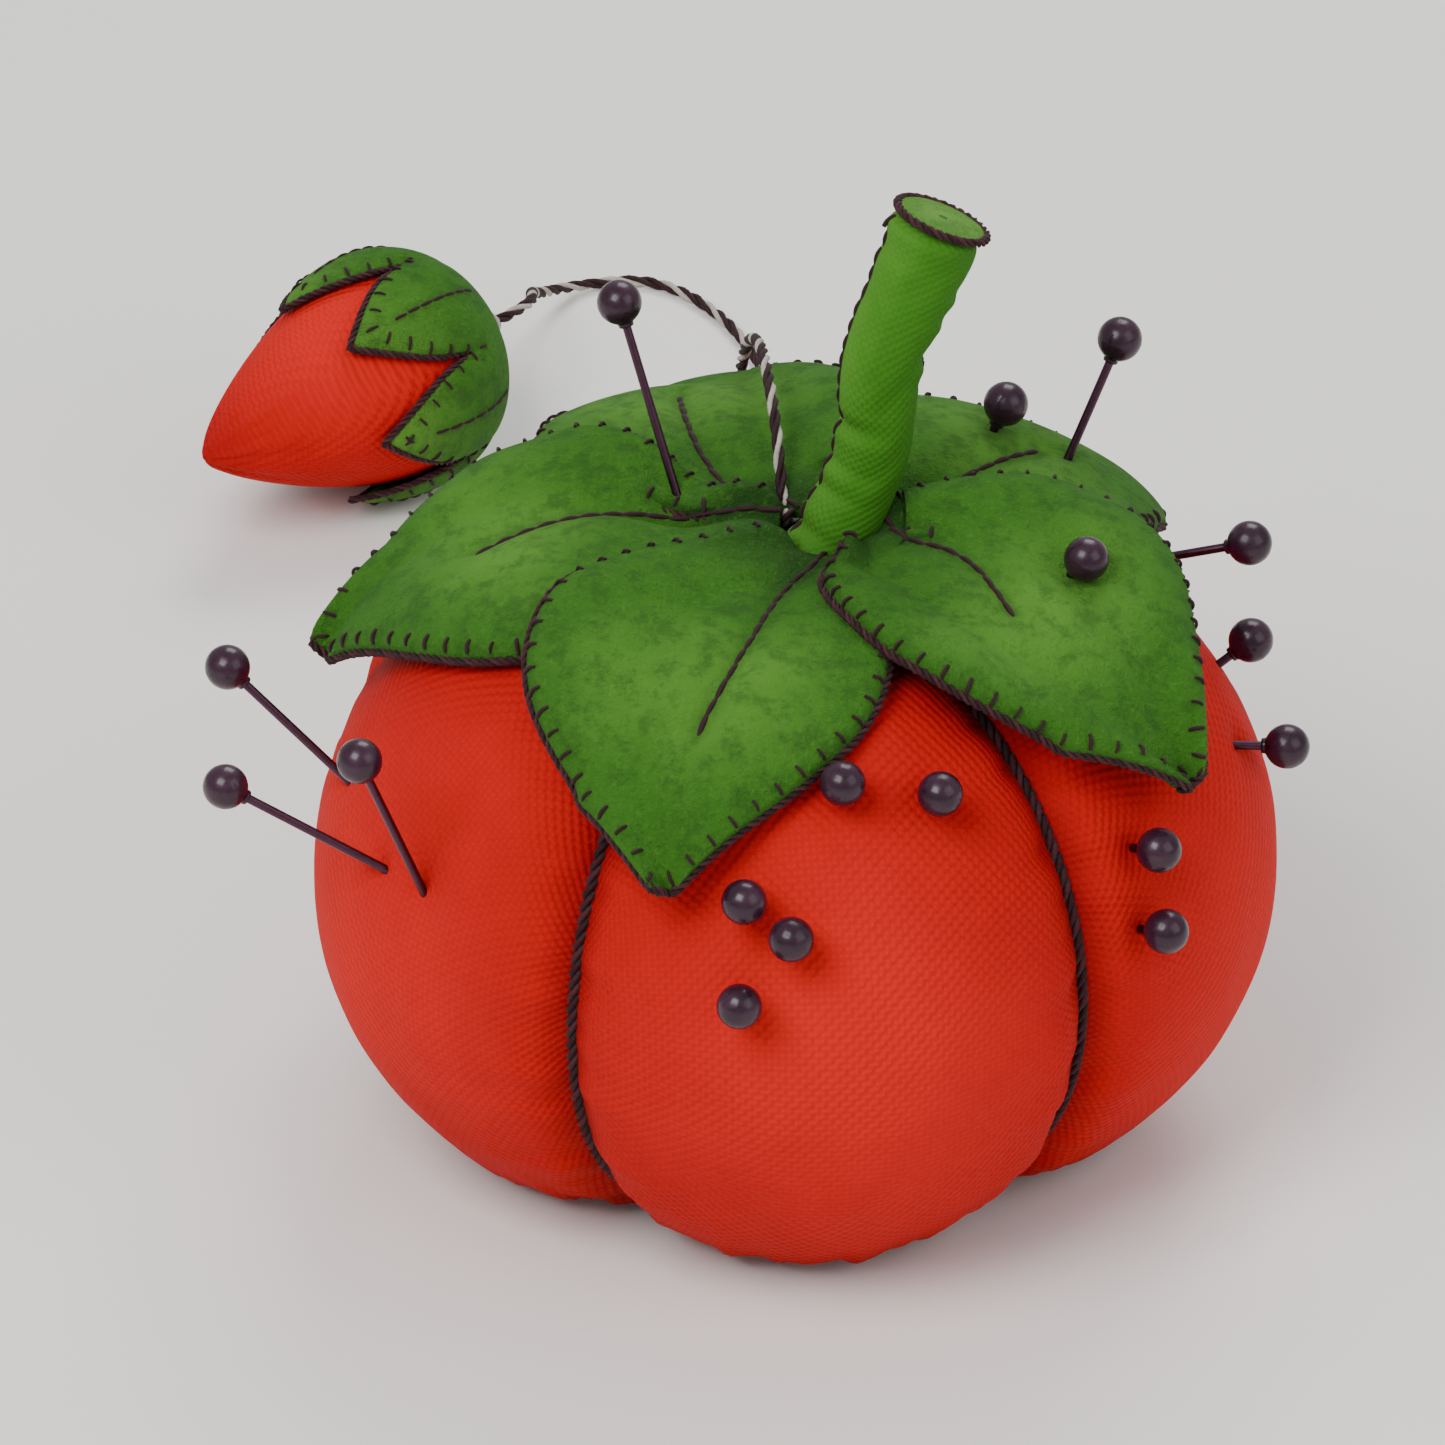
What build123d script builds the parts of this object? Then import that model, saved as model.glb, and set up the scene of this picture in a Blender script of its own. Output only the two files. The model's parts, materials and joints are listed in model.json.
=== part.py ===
from build123d import *
import math
import os

os.makedirs("parts", exist_ok=True)

# A tomato pin cushion: a tied cloth ball of five lobes with felt leaves, a stuffed
# cloth stem, seventeen ball-head pins and a strawberry emery on a thread.
# The origin is the middle of the flat base, +Z is up and the front faces -Y.
# Azimuths are degrees from the front, towards +X. Elevations are degrees up.

# ---- Tied cushion -------------------------------------------------------------
cushion_diameter = 80.0
cushion_height = 51.0
lobe_count = 5
first_lobe_azimuth = 6.0
lobe_axis_radius = 15.5         # each lobe's own vertical axis, from the cushion's
bottom_flattening = 2.0         # how much of a lobe's height its foot loses
cloth_thickness = 0.5
tie_hole_radius = 2.4           # gathered opening round the centre tie

# ---- Crease thread and base patch ---------------------------------------------
floss_width = 1.2
floss_depth = 1.2
floss_lift = 0.3                # how far the thread stands proud of a crease's own line
tie_radius = 1.4                # the five passes of thread up the middle, bundled
patch_radius = 19.0
patch_thickness = 1.2

# ---- Leaves -------------------------------------------------------------------
leaf_count = 5
first_leaf_azimuth = -16.0
leaf_thickness = 1.8
leaf_bite = 0.4                 # how far a leaf wraps down over the crest it lies on
leaf_root = 3.2                 # where the skin of a leaf begins, from the axis
leaf_root_line = 1.6            # where its outline is closed, inside that
leaf_straight_end = 16.0        # where the leaf leaves its neighbour's edge
leaf_shoulder_at = 24.5
leaf_shoulder_half_width = 9.6
leaf_tip_radius = 34.5
leaf_gap = 0.4
leaf_tip_half_angle = 38.0

# ---- Stem ---------------------------------------------------------------------
stem_foot_radius = 2.75
stem_end_radius = 3.8
stem_azimuth = 116.0            # the way it leans out of the middle
# Its middle line: how far it has leaned out, and its height over the dimple.
stem_lean = [(0.0, 1.2), (3.4, 5.6), (7.0, 12.5), (8.3, 21.5), (13.2, 32.4)]
stem_sections = 7
stem_flare_power = 3            # how late the stem widens towards its end
stem_cloth = 0.45
stem_disc_thickness = 0.7

# ---- Pins ---------------------------------------------------------------------
pin_reach = 36.0                # point to the middle of the head
pin_shaft_diameter = 0.7
pin_point_length = 2.6
pin_point_radius = 0.06
pin_head_diameter = 3.6
pin_head_grip = 0.9             # how far the shaft runs past the head's middle
pin_hole_clearance = 0.05       # all round a shaft, in cloth, felt and filling
pin_seat_gap = 0.3              # under a head that is pushed home
pin_hole_spare = 0.6            # past the point when the pin is pushed right in

# Each pin: where it goes in (azimuth, then elevation from the lobes' middle), the
# way its head points (azimuth, elevation), how far its head stands out, and how
# far it can still be pushed in. None is a head that is already home.
pins = {
    "left_upper": (-75, 18, -97, 46, 12.0, 9.5),
    "left_middle": (-60, 14, -87, 33, 13.0, 10.5),
    "left_lower": (-52, 16, -46, 66, 14.0, 10.0),
    "top": (-119, 70, -140, 64, 19.0, 13.0),
    "leaf_upper": (124, 42, 125, 62, 14.0, 8.0),
    "leaf_side": (106, 36, 74, 20, 10.5, 6.0),
    "leaf_face": (77, 50, 60, 54, None, 0.0),
    "back": (136, 49, 108, 66, 5.0, 0.5),
    "front_first": (8, 38, 0, 32, None, 0.0),
    "front_second": (23, 35, 0, 32, None, 0.0),
    "front_third": (-6, 24, 0, 32, None, 0.0),
    "front_fourth": (0, 20, 0, 32, None, 0.0),
    "front_fifth": (-6, 12, 0, 32, None, 0.0),
    "right_first": (52, 19, 42, 22, None, 0.0),
    "right_second": (50, 9, 42, 22, None, 0.0),
    "edge_first": (96, 22, 106, 34, None, 0.0),
    "edge_second": (80, 18, 87, 0, None, 0.0),
}
pins_through_leaves = ["top", "leaf_upper", "leaf_side", "leaf_face", "back"]

# ---- Strawberry emery ---------------------------------------------------------
emery_length = 30.0
emery_radius = 9.6
emery_cloth = 0.45
emery_cap_thickness = 0.8
emery_cap_leaves = 6
emery_cap_reach = 19.0          # knot to the points of the cap's leaves
emery_cap_half_width = 5.2
emery_heading = 42.7            # degrees from +X to the thread's side of the cap
emery_neck = 1.5                # knot's middle to the end of the cloth body
emery_widest_at = 9.9           # from the neck to the widest place
emery_neck_pull = 0.9           # how fully the body rounds at its neck
emery_tip_pull = 0.45           # and at its tip
emery_cap_root_half_width = 4.68
emery_cap_widest_at = 8.55      # from the knot

# ---- Thread -------------------------------------------------------------------
thread_diameter = 1.0
knot_radius = 1.6
knot_clearance = 0.08           # the cap turns on its knot with this much to spare
stem_knot_place = (-0.5, 4.4, 51.2)
emery_knot_place = (-25.3, 101.7)
# Its route from the stem's knot: over the rear leaf, down the rear crease, along
# the table and up to the strawberry's knot.
thread_over_cushion = [
    (-0.9, 8.6, 55.4),
    (-1.6, 15.2, 57.0),
    (-2.3, 23.2, 55.8),
    (-3.2, 31.2, 51.6),
    (-4.0, 38.4, 43.6),
    (-4.6, 43.2, 32.0),
    (-4.7, 45.2, 19.5),
    (-4.9, 46.2, 8.5),
]
thread_floor_gap = 0.1
table_height = thread_diameter / 2 + thread_floor_gap
thread_on_table = [
    (-5.2, 49.6),
    (-5.0, 60.5),
    (-3.0, 73.0),
    (-0.6, 85.5),
    (0.2, 98.0),
    (-1.2, 109.5),
    (-4.9, 119.8),
    (-11.0, 126.4),
    (-18.0, 125.0),
]
thread_up_to_emery = [
    (-21.0, 118.6, 3.6),
    (-21.6, 111.6, 8.0),
]
thread_exit_run = 5.6           # straight out of the strawberry's knot
thread_bend_share = 0.45        # of the shorter run that each bend takes

# ---- Worked out ---------------------------------------------------------------
sector_angle = 360 / lobe_count
half_sector = math.radians(sector_angle / 2)
lobe_radius = cushion_diameter / 2 - lobe_axis_radius
lobe_half_height = (cushion_height + bottom_flattening) / 2
lobe_middle = cushion_height - lobe_half_height
lobe_azimuths = [first_lobe_azimuth + k * sector_angle for k in range(lobe_count)]
leaf_azimuths = [first_leaf_azimuth + k * 360 / leaf_count for k in range(leaf_count)]

# A crease is the ellipse where two neighbouring lobes meet.
crease_axis_radius = lobe_axis_radius * math.cos(half_sector)
crease_radius = math.sqrt(lobe_radius**2 - (lobe_axis_radius * math.sin(half_sector)) ** 2)
crease_half_height = lobe_half_height * crease_radius / lobe_radius
dimple_height = lobe_middle + crease_half_height * math.sqrt(1 - (crease_axis_radius / crease_radius) ** 2)

pin_shaft_radius = pin_shaft_diameter / 2
pin_head_radius = pin_head_diameter / 2
emery_axis_height = emery_radius + emery_cap_thickness
on_base = (Align.CENTER, Align.CENTER, Align.MIN)
under_top = (Align.CENTER, Align.CENTER, Align.MAX)
below = (Align.CENTER, Align.MAX)


def turned(azimuth):
    """Rotation that carries +X to an azimuth."""
    return azimuth - 90


def direction(azimuth, elevation):
    """Unit vector from an azimuth and an elevation."""
    flat = math.cos(math.radians(elevation))
    across = flat * math.sin(math.radians(azimuth))
    along = -flat * math.cos(math.radians(azimuth))
    return Vector(across, along, math.sin(math.radians(elevation)))


def surface_point(azimuth, elevation):
    """Point of the cloth in this direction from the lobes' middle, and its normal."""
    lobe_azimuth = min(lobe_azimuths, key=lambda a: abs((azimuth - a + 180) % 360 - 180))
    axis = direction(lobe_azimuth, 0) * lobe_axis_radius
    ray = direction(azimuth, elevation)
    squash = lobe_radius / lobe_half_height
    ray_round = Vector(ray.X, ray.Y, ray.Z * squash)
    along = ray_round.dot(axis)
    square = ray_round.dot(ray_round)
    reach = (along + math.sqrt(along**2 + square * (lobe_radius**2 - axis.dot(axis)))) / square
    from_axis = ray_round * reach - axis
    normal = Vector(from_axis.X, from_axis.Y, from_axis.Z * squash).normalized()
    return Vector(0, 0, lobe_middle) + ray * reach, normal


# ---- Lobes --------------------------------------------------------------------
def lobe_sector(inset, crease_gap=0):
    """One lobe along +X, its surface set in and its sides short of the crease planes."""
    with BuildPart() as sector:
        with BuildSketch(Plane.XZ):
            with Locations((lobe_axis_radius, lobe_middle)):
                Ellipse(lobe_radius - inset, lobe_half_height - inset)
            with Locations((lobe_axis_radius - lobe_radius, lobe_middle)):
                Rectangle(2 * lobe_radius, 2 * cushion_height, mode=Mode.SUBTRACT)
        revolve(axis=Axis((lobe_axis_radius, 0, 0), (0, 0, 1)))
        with BuildSketch(Plane.XY.offset(patch_thickness + inset)):
            corner = crease_gap / math.sin(half_sector)
            side = cushion_diameter * math.tan(half_sector)
            far = corner + cushion_diameter
            Polygon((corner, 0), (far, -side), (far, side), align=None)
        extrude(amount=2 * cushion_height, mode=Mode.INTERSECT)
        Cylinder(tie_hole_radius, 4 * cushion_height, mode=Mode.SUBTRACT)
    return sector.part


outer_sector = lobe_sector(0)
gore_sector = lobe_sector(0, floss_width / 2)
inner_sector = lobe_sector(cloth_thickness)


# ---- Crease thread: five passes up the creases and down the middle ---------------
# A flat pass of thread lies in each crease, between the edges of two gores.
pass_outside = floss_depth - cloth_thickness + floss_lift
pass_inside = pass_outside - floss_depth
low_outside = (lobe_middle - patch_thickness) / (crease_half_height + pass_outside)
run_end = crease_axis_radius + crease_radius * math.sqrt(1 - low_outside**2)
tie_top = dimple_height + pass_outside

with BuildPart() as crease_pass:
    with BuildSketch(Plane.XZ):
        with Locations((crease_axis_radius, lobe_middle)):
            Ellipse(crease_radius + pass_outside, crease_half_height + pass_outside)
            Ellipse(crease_radius + pass_inside, crease_half_height + pass_inside, mode=Mode.SUBTRACT)
        with Locations((tie_radius / 2, lobe_middle)):
            half_plane = (Align.MAX, Align.CENTER)
            Rectangle(cushion_diameter, 2 * cushion_height, align=half_plane, mode=Mode.SUBTRACT)
        with Locations((0, patch_thickness)):
            Rectangle(2 * cushion_diameter, cushion_height, align=below, mode=Mode.SUBTRACT)
            Rectangle(run_end, floss_depth, align=Align.MIN)
    extrude(amount=floss_width / 2, both=True)

with BuildPart() as crease_floss:
    for azimuth in lobe_azimuths:
        with Locations(Location((0, 0, 0), (0, 0, turned(azimuth + sector_angle / 2)))):
            add(crease_pass.part)
    with BuildSketch(Plane.XY.offset(patch_thickness)):
        Circle(tie_radius)
    extrude(amount=tie_top - patch_thickness)

# ---- Stem shape -----------------------------------------------------------------
stem_across = direction(stem_azimuth - 90, 0)
stem_plane = Plane(origin=(0, 0, dimple_height), x_dir=direction(stem_azimuth, 0), z_dir=stem_across)
with BuildLine(stem_plane) as stem_spine:
    spine = Spline(*stem_lean)


def stem_solid(inset, end_cut):
    """The stem's tapering body, set in all round and stopped short of its end."""
    with BuildPart() as body:
        last = 1 - end_cut / spine.length
        for step in range(stem_sections):
            place = last * step / (stem_sections - 1)
            flare = place**stem_flare_power
            radius = stem_foot_radius + (stem_end_radius - stem_foot_radius) * flare - inset
            with BuildSketch(Plane(origin=spine @ place, z_dir=spine % place)):
                Circle(radius)
        loft()
    return body.part


stem_outer = stem_solid(0, stem_disc_thickness)
stem_inner = stem_solid(stem_cloth, stem_disc_thickness)

# ---- Where each pin stands ----------------------------------------------------------
pin_places = {}
for name, (azimuth, elevation, head_azimuth, head_elevation, stand_out, travel_in) in pins.items():
    entry, normal = surface_point(azimuth, elevation)
    heading = direction(head_azimuth, head_elevation)
    if stand_out is None:
        under = leaf_thickness if name in pins_through_leaves else 0
        stand_out = (under + pin_head_radius + pin_seat_gap) / normal.dot(heading)
    pin_places[name] = (entry + heading * stand_out, heading, stand_out, travel_in)


def cut_pin_holes(names):
    """Take the holes of these pins out of the part that is being built."""
    for name in names:
        head, heading, stand_out, travel_in = pin_places[name]
        depth = pin_reach + travel_in + pin_hole_spare
        with Locations(Plane(origin=head, z_dir=-heading)):
            Cylinder(pin_shaft_radius + pin_hole_clearance, depth, align=on_base, mode=Mode.SUBTRACT)


# ---- Filling ----------------------------------------------------------------------
with BuildPart() as filling:
    for azimuth in lobe_azimuths:
        with Locations(Location((0, 0, 0), (0, 0, turned(azimuth)))):
            add(inner_sector)
    add(crease_floss.part, mode=Mode.SUBTRACT)
    cut_pin_holes(pins)
filling.part.label = "filling"
export_step(filling.part, "parts/filling.step")

# ---- Cover: one cloth gore over each lobe --------------------------------------------
for number, azimuth in enumerate(lobe_azimuths, start=1):
    with BuildPart() as gore:
        with Locations(Location((0, 0, 0), (0, 0, turned(azimuth)))):
            add(gore_sector)
            add(inner_sector, mode=Mode.SUBTRACT)
        cut_pin_holes(pins)
    gore.part.label = f"gore_{number}"
    export_step(gore.part, f"parts/gore_{number}.step")

crease_floss.part.label = "crease_floss"
export_step(crease_floss.part, "parts/crease_floss.step")

# ---- Base patch --------------------------------------------------------------------
with BuildPart() as base_patch:
    Cylinder(patch_radius, patch_thickness, align=on_base)
base_patch.part.label = "base_patch"
export_step(base_patch.part, "parts/base_patch.step")

# ---- Leaves ------------------------------------------------------------------------
# A leaf follows the lobes' crests, as a skin turned about the cushion's axis.
with BuildPart() as leaf_skin:
    with BuildSketch(Plane.XZ):
        with Locations((lobe_axis_radius, lobe_middle)):
            Ellipse(lobe_radius + leaf_thickness, lobe_half_height + leaf_thickness)
            Ellipse(lobe_radius - leaf_bite, lobe_half_height - leaf_bite, mode=Mode.SUBTRACT)
        with Locations((0, lobe_middle)):
            Rectangle(2 * cushion_diameter, 2 * cushion_height, align=below, mode=Mode.SUBTRACT)
        Rectangle(2 * leaf_root, 4 * cushion_height, mode=Mode.SUBTRACT)
        with Locations((-cushion_diameter, 0)):
            Rectangle(2 * cushion_diameter, 4 * cushion_height, mode=Mode.SUBTRACT)
    revolve(axis=Axis.Z)

edge_start = leaf_root_line * math.tan(half_sector) - leaf_gap / 2
edge_end = leaf_straight_end * math.tan(half_sector) - leaf_gap
edge_way = (math.cos(half_sector), math.sin(half_sector))
tip_way = (
    math.cos(math.radians(leaf_tip_half_angle)),
    -math.sin(math.radians(leaf_tip_half_angle)),
)

for number, azimuth in enumerate(leaf_azimuths, start=1):
    with BuildPart() as leaf:
        with BuildSketch(Plane.XY.rotated((0, 0, turned(azimuth)))):
            with BuildLine():
                Line((leaf_root_line, 0), (leaf_root_line, edge_start))
                Line((leaf_root_line, edge_start), (leaf_straight_end, edge_end))
                Spline(
                    (leaf_straight_end, edge_end),
                    (leaf_shoulder_at, leaf_shoulder_half_width),
                    (leaf_tip_radius, 0),
                    tangents=(edge_way, tip_way),
                )
                mirror(about=Plane.XZ)
            make_face()
        extrude(amount=2 * cushion_height)
        add(leaf_skin.part, mode=Mode.INTERSECT)
        for lobe_azimuth in lobe_azimuths:
            with Locations(Location((0, 0, 0), (0, 0, turned(lobe_azimuth)))):
                add(outer_sector, mode=Mode.SUBTRACT)
        add(crease_floss.part, mode=Mode.SUBTRACT)
        add(stem_outer, mode=Mode.SUBTRACT)
        cut_pin_holes(pins)
    leaf.part.label = f"leaf_{number}"
    export_step(leaf.part, f"parts/leaf_{number}.step")

# ---- Stem ----------------------------------------------------------------------------
def cut_stem_seat():
    """Take the cloth, the gathered opening and the thread out of the stem's foot."""
    for lobe_azimuth in lobe_azimuths:
        with Locations(Location((0, 0, 0), (0, 0, turned(lobe_azimuth)))):
            add(outer_sector, mode=Mode.SUBTRACT)
    Cylinder(tie_hole_radius, tie_top, align=on_base, mode=Mode.SUBTRACT)
    add(crease_floss.part, mode=Mode.SUBTRACT)


with BuildPart() as stem_cover:
    add(stem_outer)
    add(stem_inner, mode=Mode.SUBTRACT)
    cut_stem_seat()
stem_cover.part.label = "stem_cover"
export_step(stem_cover.part, "parts/stem_cover.step")

with BuildPart() as stem_filling:
    add(stem_inner)
    cut_stem_seat()
stem_filling.part.label = "stem_filling"
export_step(stem_filling.part, "parts/stem_filling.step")

disc_place = 1 - stem_disc_thickness / spine.length
with BuildPart() as stem_end_disc:
    with BuildSketch(Plane(origin=spine @ disc_place, z_dir=spine % disc_place)):
        Circle(stem_end_radius)
    extrude(amount=stem_disc_thickness)
stem_end_disc.part.label = "stem_end_disc"
export_step(stem_end_disc.part, "parts/stem_end_disc.step")

# ---- Pins ----------------------------------------------------------------------------
for name, (head, heading, stand_out, travel_in) in pin_places.items():
    with BuildPart(Plane(origin=head, z_dir=heading)) as shaft:
        with Locations((0, 0, pin_point_length - pin_reach)):
            Cylinder(pin_shaft_radius, pin_reach - pin_point_length + pin_head_grip, align=on_base)
        with Locations((0, 0, -pin_reach)):
            Cone(pin_point_radius, pin_shaft_radius, pin_point_length, align=on_base)
    shaft.part.label = f"pin_{name}_shaft"
    export_step(shaft.part, f"parts/pin_{name}_shaft.step")

    with BuildPart(Plane(origin=head, z_dir=heading)) as ball:
        Sphere(pin_head_radius)
        with Locations((0, 0, pin_head_grip)):
            Cylinder(pin_shaft_radius, pin_head_diameter, align=under_top, mode=Mode.SUBTRACT)
    ball.part.label = f"pin_{name}_head"
    export_step(ball.part, f"parts/pin_{name}_head.step")

# ---- Thread --------------------------------------------------------------------------
emery_knot = Vector(*emery_knot_place, emery_axis_height)
exit_way = Vector(1, 0, 0).rotate(Axis.Z, emery_heading)
exit_point = emery_knot + exit_way * thread_exit_run
thread_route = [stem_knot_place]
thread_route += thread_over_cushion
thread_route += [(x, y, table_height) for x, y in thread_on_table]
thread_route += thread_up_to_emery
thread_route += [tuple(exit_point), tuple(emery_knot)]
route = [Vector(*point) for point in thread_route]

bend_radii = []
for before, here, after in zip(route, route[1:], route[2:]):
    turn = math.radians((here - before).get_angle(after - here))
    shorter = min((here - before).length, (after - here).length)
    bend_radii.append(thread_bend_share * shorter / math.tan(turn / 2))

with BuildPart() as thread:
    with BuildLine() as thread_path:
        FilletPolyline(*route, radius=bend_radii)
    with BuildSketch(Plane(origin=thread_path.line @ 0, z_dir=thread_path.line % 0)):
        Circle(thread_diameter / 2)
    sweep(path=thread_path.line)
thread.part.label = "emery_thread"
export_step(thread.part, "parts/emery_thread.step")
thread_length = sum(edge.length for edge in thread_path.edges())
thread_section = math.pi * thread_diameter**2 / 4
print("thread bend radii:", [round(radius, 1) for radius in bend_radii])
print("thread length:", round(thread_length, 1))
print("thread volume ratio:", round(thread.part.volume / thread_section / thread_length, 4))

with BuildPart() as stem_knot:
    with Locations(stem_knot_place):
        Sphere(knot_radius)
    add(stem_outer, mode=Mode.SUBTRACT)
    add(thread.part, mode=Mode.SUBTRACT)
    add(leaf_skin.part, mode=Mode.SUBTRACT)
stem_knot.part.label = "stem_knot"
export_step(stem_knot.part, "parts/stem_knot.step")

with BuildPart() as cap_knot:
    with Locations(emery_knot):
        Sphere(knot_radius)
    add(thread.part, mode=Mode.SUBTRACT)
cap_knot.part.label = "emery_knot"
export_step(cap_knot.part, "parts/emery_knot.step")

# ---- Strawberry emery ------------------------------------------------------------------
# Built along the strawberry's own axis, from the knot at the cap to the tip.
emery_plane = Plane(origin=emery_knot, x_dir=-exit_way, z_dir=(0, 0, 1))


def emery_solid(inset):
    """The strawberry's teardrop body about its axis, set in all round."""
    first = emery_neck + inset
    last = emery_neck + emery_length - inset
    with BuildPart() as body:
        with BuildSketch(emery_plane):
            with BuildLine():
                Spline(
                    (first, 0),
                    (emery_neck + emery_widest_at, emery_radius - inset),
                    (last, 0),
                    tangents=((0, 1), (0, -1)),
                    tangent_scalars=(emery_neck_pull, emery_tip_pull),
                )
                Line((last, 0), (first, 0))
            make_face()
        revolve(axis=Axis(emery_knot, -exit_way))
    return body.part


emery_outer = emery_solid(0)
emery_inner = emery_solid(emery_cloth)

with BuildPart() as emery_grit:
    add(emery_inner)
emery_grit.part.label = "emery_grit"
export_step(emery_grit.part, "parts/emery_grit.step")

with BuildPart() as emery_cover:
    add(emery_outer)
    add(emery_inner, mode=Mode.SUBTRACT)
    with Locations(emery_knot):
        Sphere(knot_radius + knot_clearance, mode=Mode.SUBTRACT)
emery_cover.part.label = "emery_cover"
export_step(emery_cover.part, "parts/emery_cover.step")

with BuildPart() as emery_cap:
    for leaf_number in range(emery_cap_leaves):
        roll = 360 * leaf_number / emery_cap_leaves
        leaf_plane = emery_plane.rotated((roll, 0, 0))
        with BuildSketch(leaf_plane):
            with BuildLine():
                Spline(
                    (0, emery_cap_root_half_width),
                    (emery_cap_widest_at, emery_cap_half_width),
                    (emery_cap_reach, 0),
                )
                mirror(about=Plane.XZ)
                Line((0, emery_cap_root_half_width), (0, -emery_cap_root_half_width))
            make_face()
        extrude(amount=2 * emery_radius)
    add(emery_solid(-emery_cap_thickness), mode=Mode.INTERSECT)
    add(emery_outer, mode=Mode.SUBTRACT)
    with Locations(emery_knot):
        Sphere(knot_radius + knot_clearance, mode=Mode.SUBTRACT)
emery_cap.part.label = "emery_cap"
export_step(emery_cap.part, "parts/emery_cap.step")
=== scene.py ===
"""A tomato pin cushion with a strawberry emery: its cloth, felt, thread and pins."""

import json
import math

import bpy
import numpy as np
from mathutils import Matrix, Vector


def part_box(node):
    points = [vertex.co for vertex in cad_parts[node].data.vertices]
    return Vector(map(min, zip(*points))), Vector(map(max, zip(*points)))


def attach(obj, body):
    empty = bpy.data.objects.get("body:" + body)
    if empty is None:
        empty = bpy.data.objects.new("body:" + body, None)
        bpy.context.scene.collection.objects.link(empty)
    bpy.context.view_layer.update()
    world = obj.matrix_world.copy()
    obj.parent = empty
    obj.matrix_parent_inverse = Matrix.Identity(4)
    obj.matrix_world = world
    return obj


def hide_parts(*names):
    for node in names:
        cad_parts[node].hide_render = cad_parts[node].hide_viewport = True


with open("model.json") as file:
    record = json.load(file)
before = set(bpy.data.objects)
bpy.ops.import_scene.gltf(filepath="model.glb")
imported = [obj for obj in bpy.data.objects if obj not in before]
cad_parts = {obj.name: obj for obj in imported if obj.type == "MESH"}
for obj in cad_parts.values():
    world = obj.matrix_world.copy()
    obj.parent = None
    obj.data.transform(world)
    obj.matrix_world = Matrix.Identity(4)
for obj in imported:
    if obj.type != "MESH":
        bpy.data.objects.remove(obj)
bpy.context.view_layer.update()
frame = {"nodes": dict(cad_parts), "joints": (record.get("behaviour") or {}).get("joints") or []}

bl_info = {
    "name": "Tomato pin cushion",
    "version": (1, 0, 0),
    "blender": (4, 5, 0),
    "location": "View3D > Sidebar > Pin cushion",
    "description": "Makes the cloth, felt, thread, pins and stage of a tomato pin cushion",
    "category": "Object",
}

MM = 0.001
LOBES = 5
LEAVES = 5


# ---- Sizes and colours ------------------------------------------------------------
def length_setting(name, default, description):
    """A length that a user may change."""
    return bpy.props.FloatProperty(
        name=name, description=description, default=default, min=0.0, unit="LENGTH", precision=5
    )


def angle_setting(name, degrees, description):
    """An angle that a user may change."""
    return bpy.props.FloatProperty(
        name=name, description=description, default=math.radians(degrees), subtype="ANGLE"
    )


def colour_setting(name, default, description):
    """A colour that a user may change."""
    return bpy.props.FloatVectorProperty(
        name=name, description=description, default=default, size=3, subtype="COLOR", min=0.0, max=1.0
    )


class CushionSizes(bpy.types.PropertyGroup):
    """Sizes of the cushion, its leaves and its small parts."""

    lobe_axis: length_setting("Lobe axis", 15.5 * MM, "Cushion's axis to each lobe's own axis")
    lobe_radius: length_setting("Lobe radius", 24.5 * MM, "Level radius of one lobe")
    lobe_half_height: length_setting("Lobe half height", 26.5 * MM, "Upright radius of one lobe")
    lobe_middle: length_setting("Lobe middle", 24.5 * MM, "Height of the lobes' middle")
    first_lobe: angle_setting("First lobe", 6.0, "Way the front lobe faces")
    foot: length_setting("Foot", 1.2 * MM, "Height at which the cloth meets the base patch")
    crease_depth: length_setting("Crease depth", 1.5 * MM, "How far the thread pulls each crease in")
    crease_width: length_setting("Crease width", 2.2 * MM, "How wide each crease is pulled in")
    pucker: length_setting("Pucker", 0.45 * MM, "Height of the puckers beside the creases")
    first_leaf: angle_setting("First leaf", -16.0, "Way the front leaf points")
    leaf_reach: length_setting("Leaf reach", 35.0 * MM, "Cushion's axis to the point of a leaf")
    leaf_half_width: length_setting("Leaf half width", 13.6 * MM, "Half of a leaf's greatest width")
    leaf_plump: length_setting("Leaf plumpness", 1.7 * MM, "Most that the stuffing lifts a leaf's top")
    stitch_pitch: length_setting("Stitch pitch", 1.15 * MM, "From one edging stitch to the next")
    stitch_thickness: length_setting("Stitch thickness", 0.46 * MM, "Thickness of the edging thread")
    thread_diameter: length_setting("Thread diameter", 1.0 * MM, "Thickness of the strawberry's thread")
    weave: length_setting("Weave", 0.55 * MM, "Spacing of the cloth's threads")
    cap_reach: length_setting("Cap reach", 19.0 * MM, "Knot to the points of the strawberry's cap")


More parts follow.
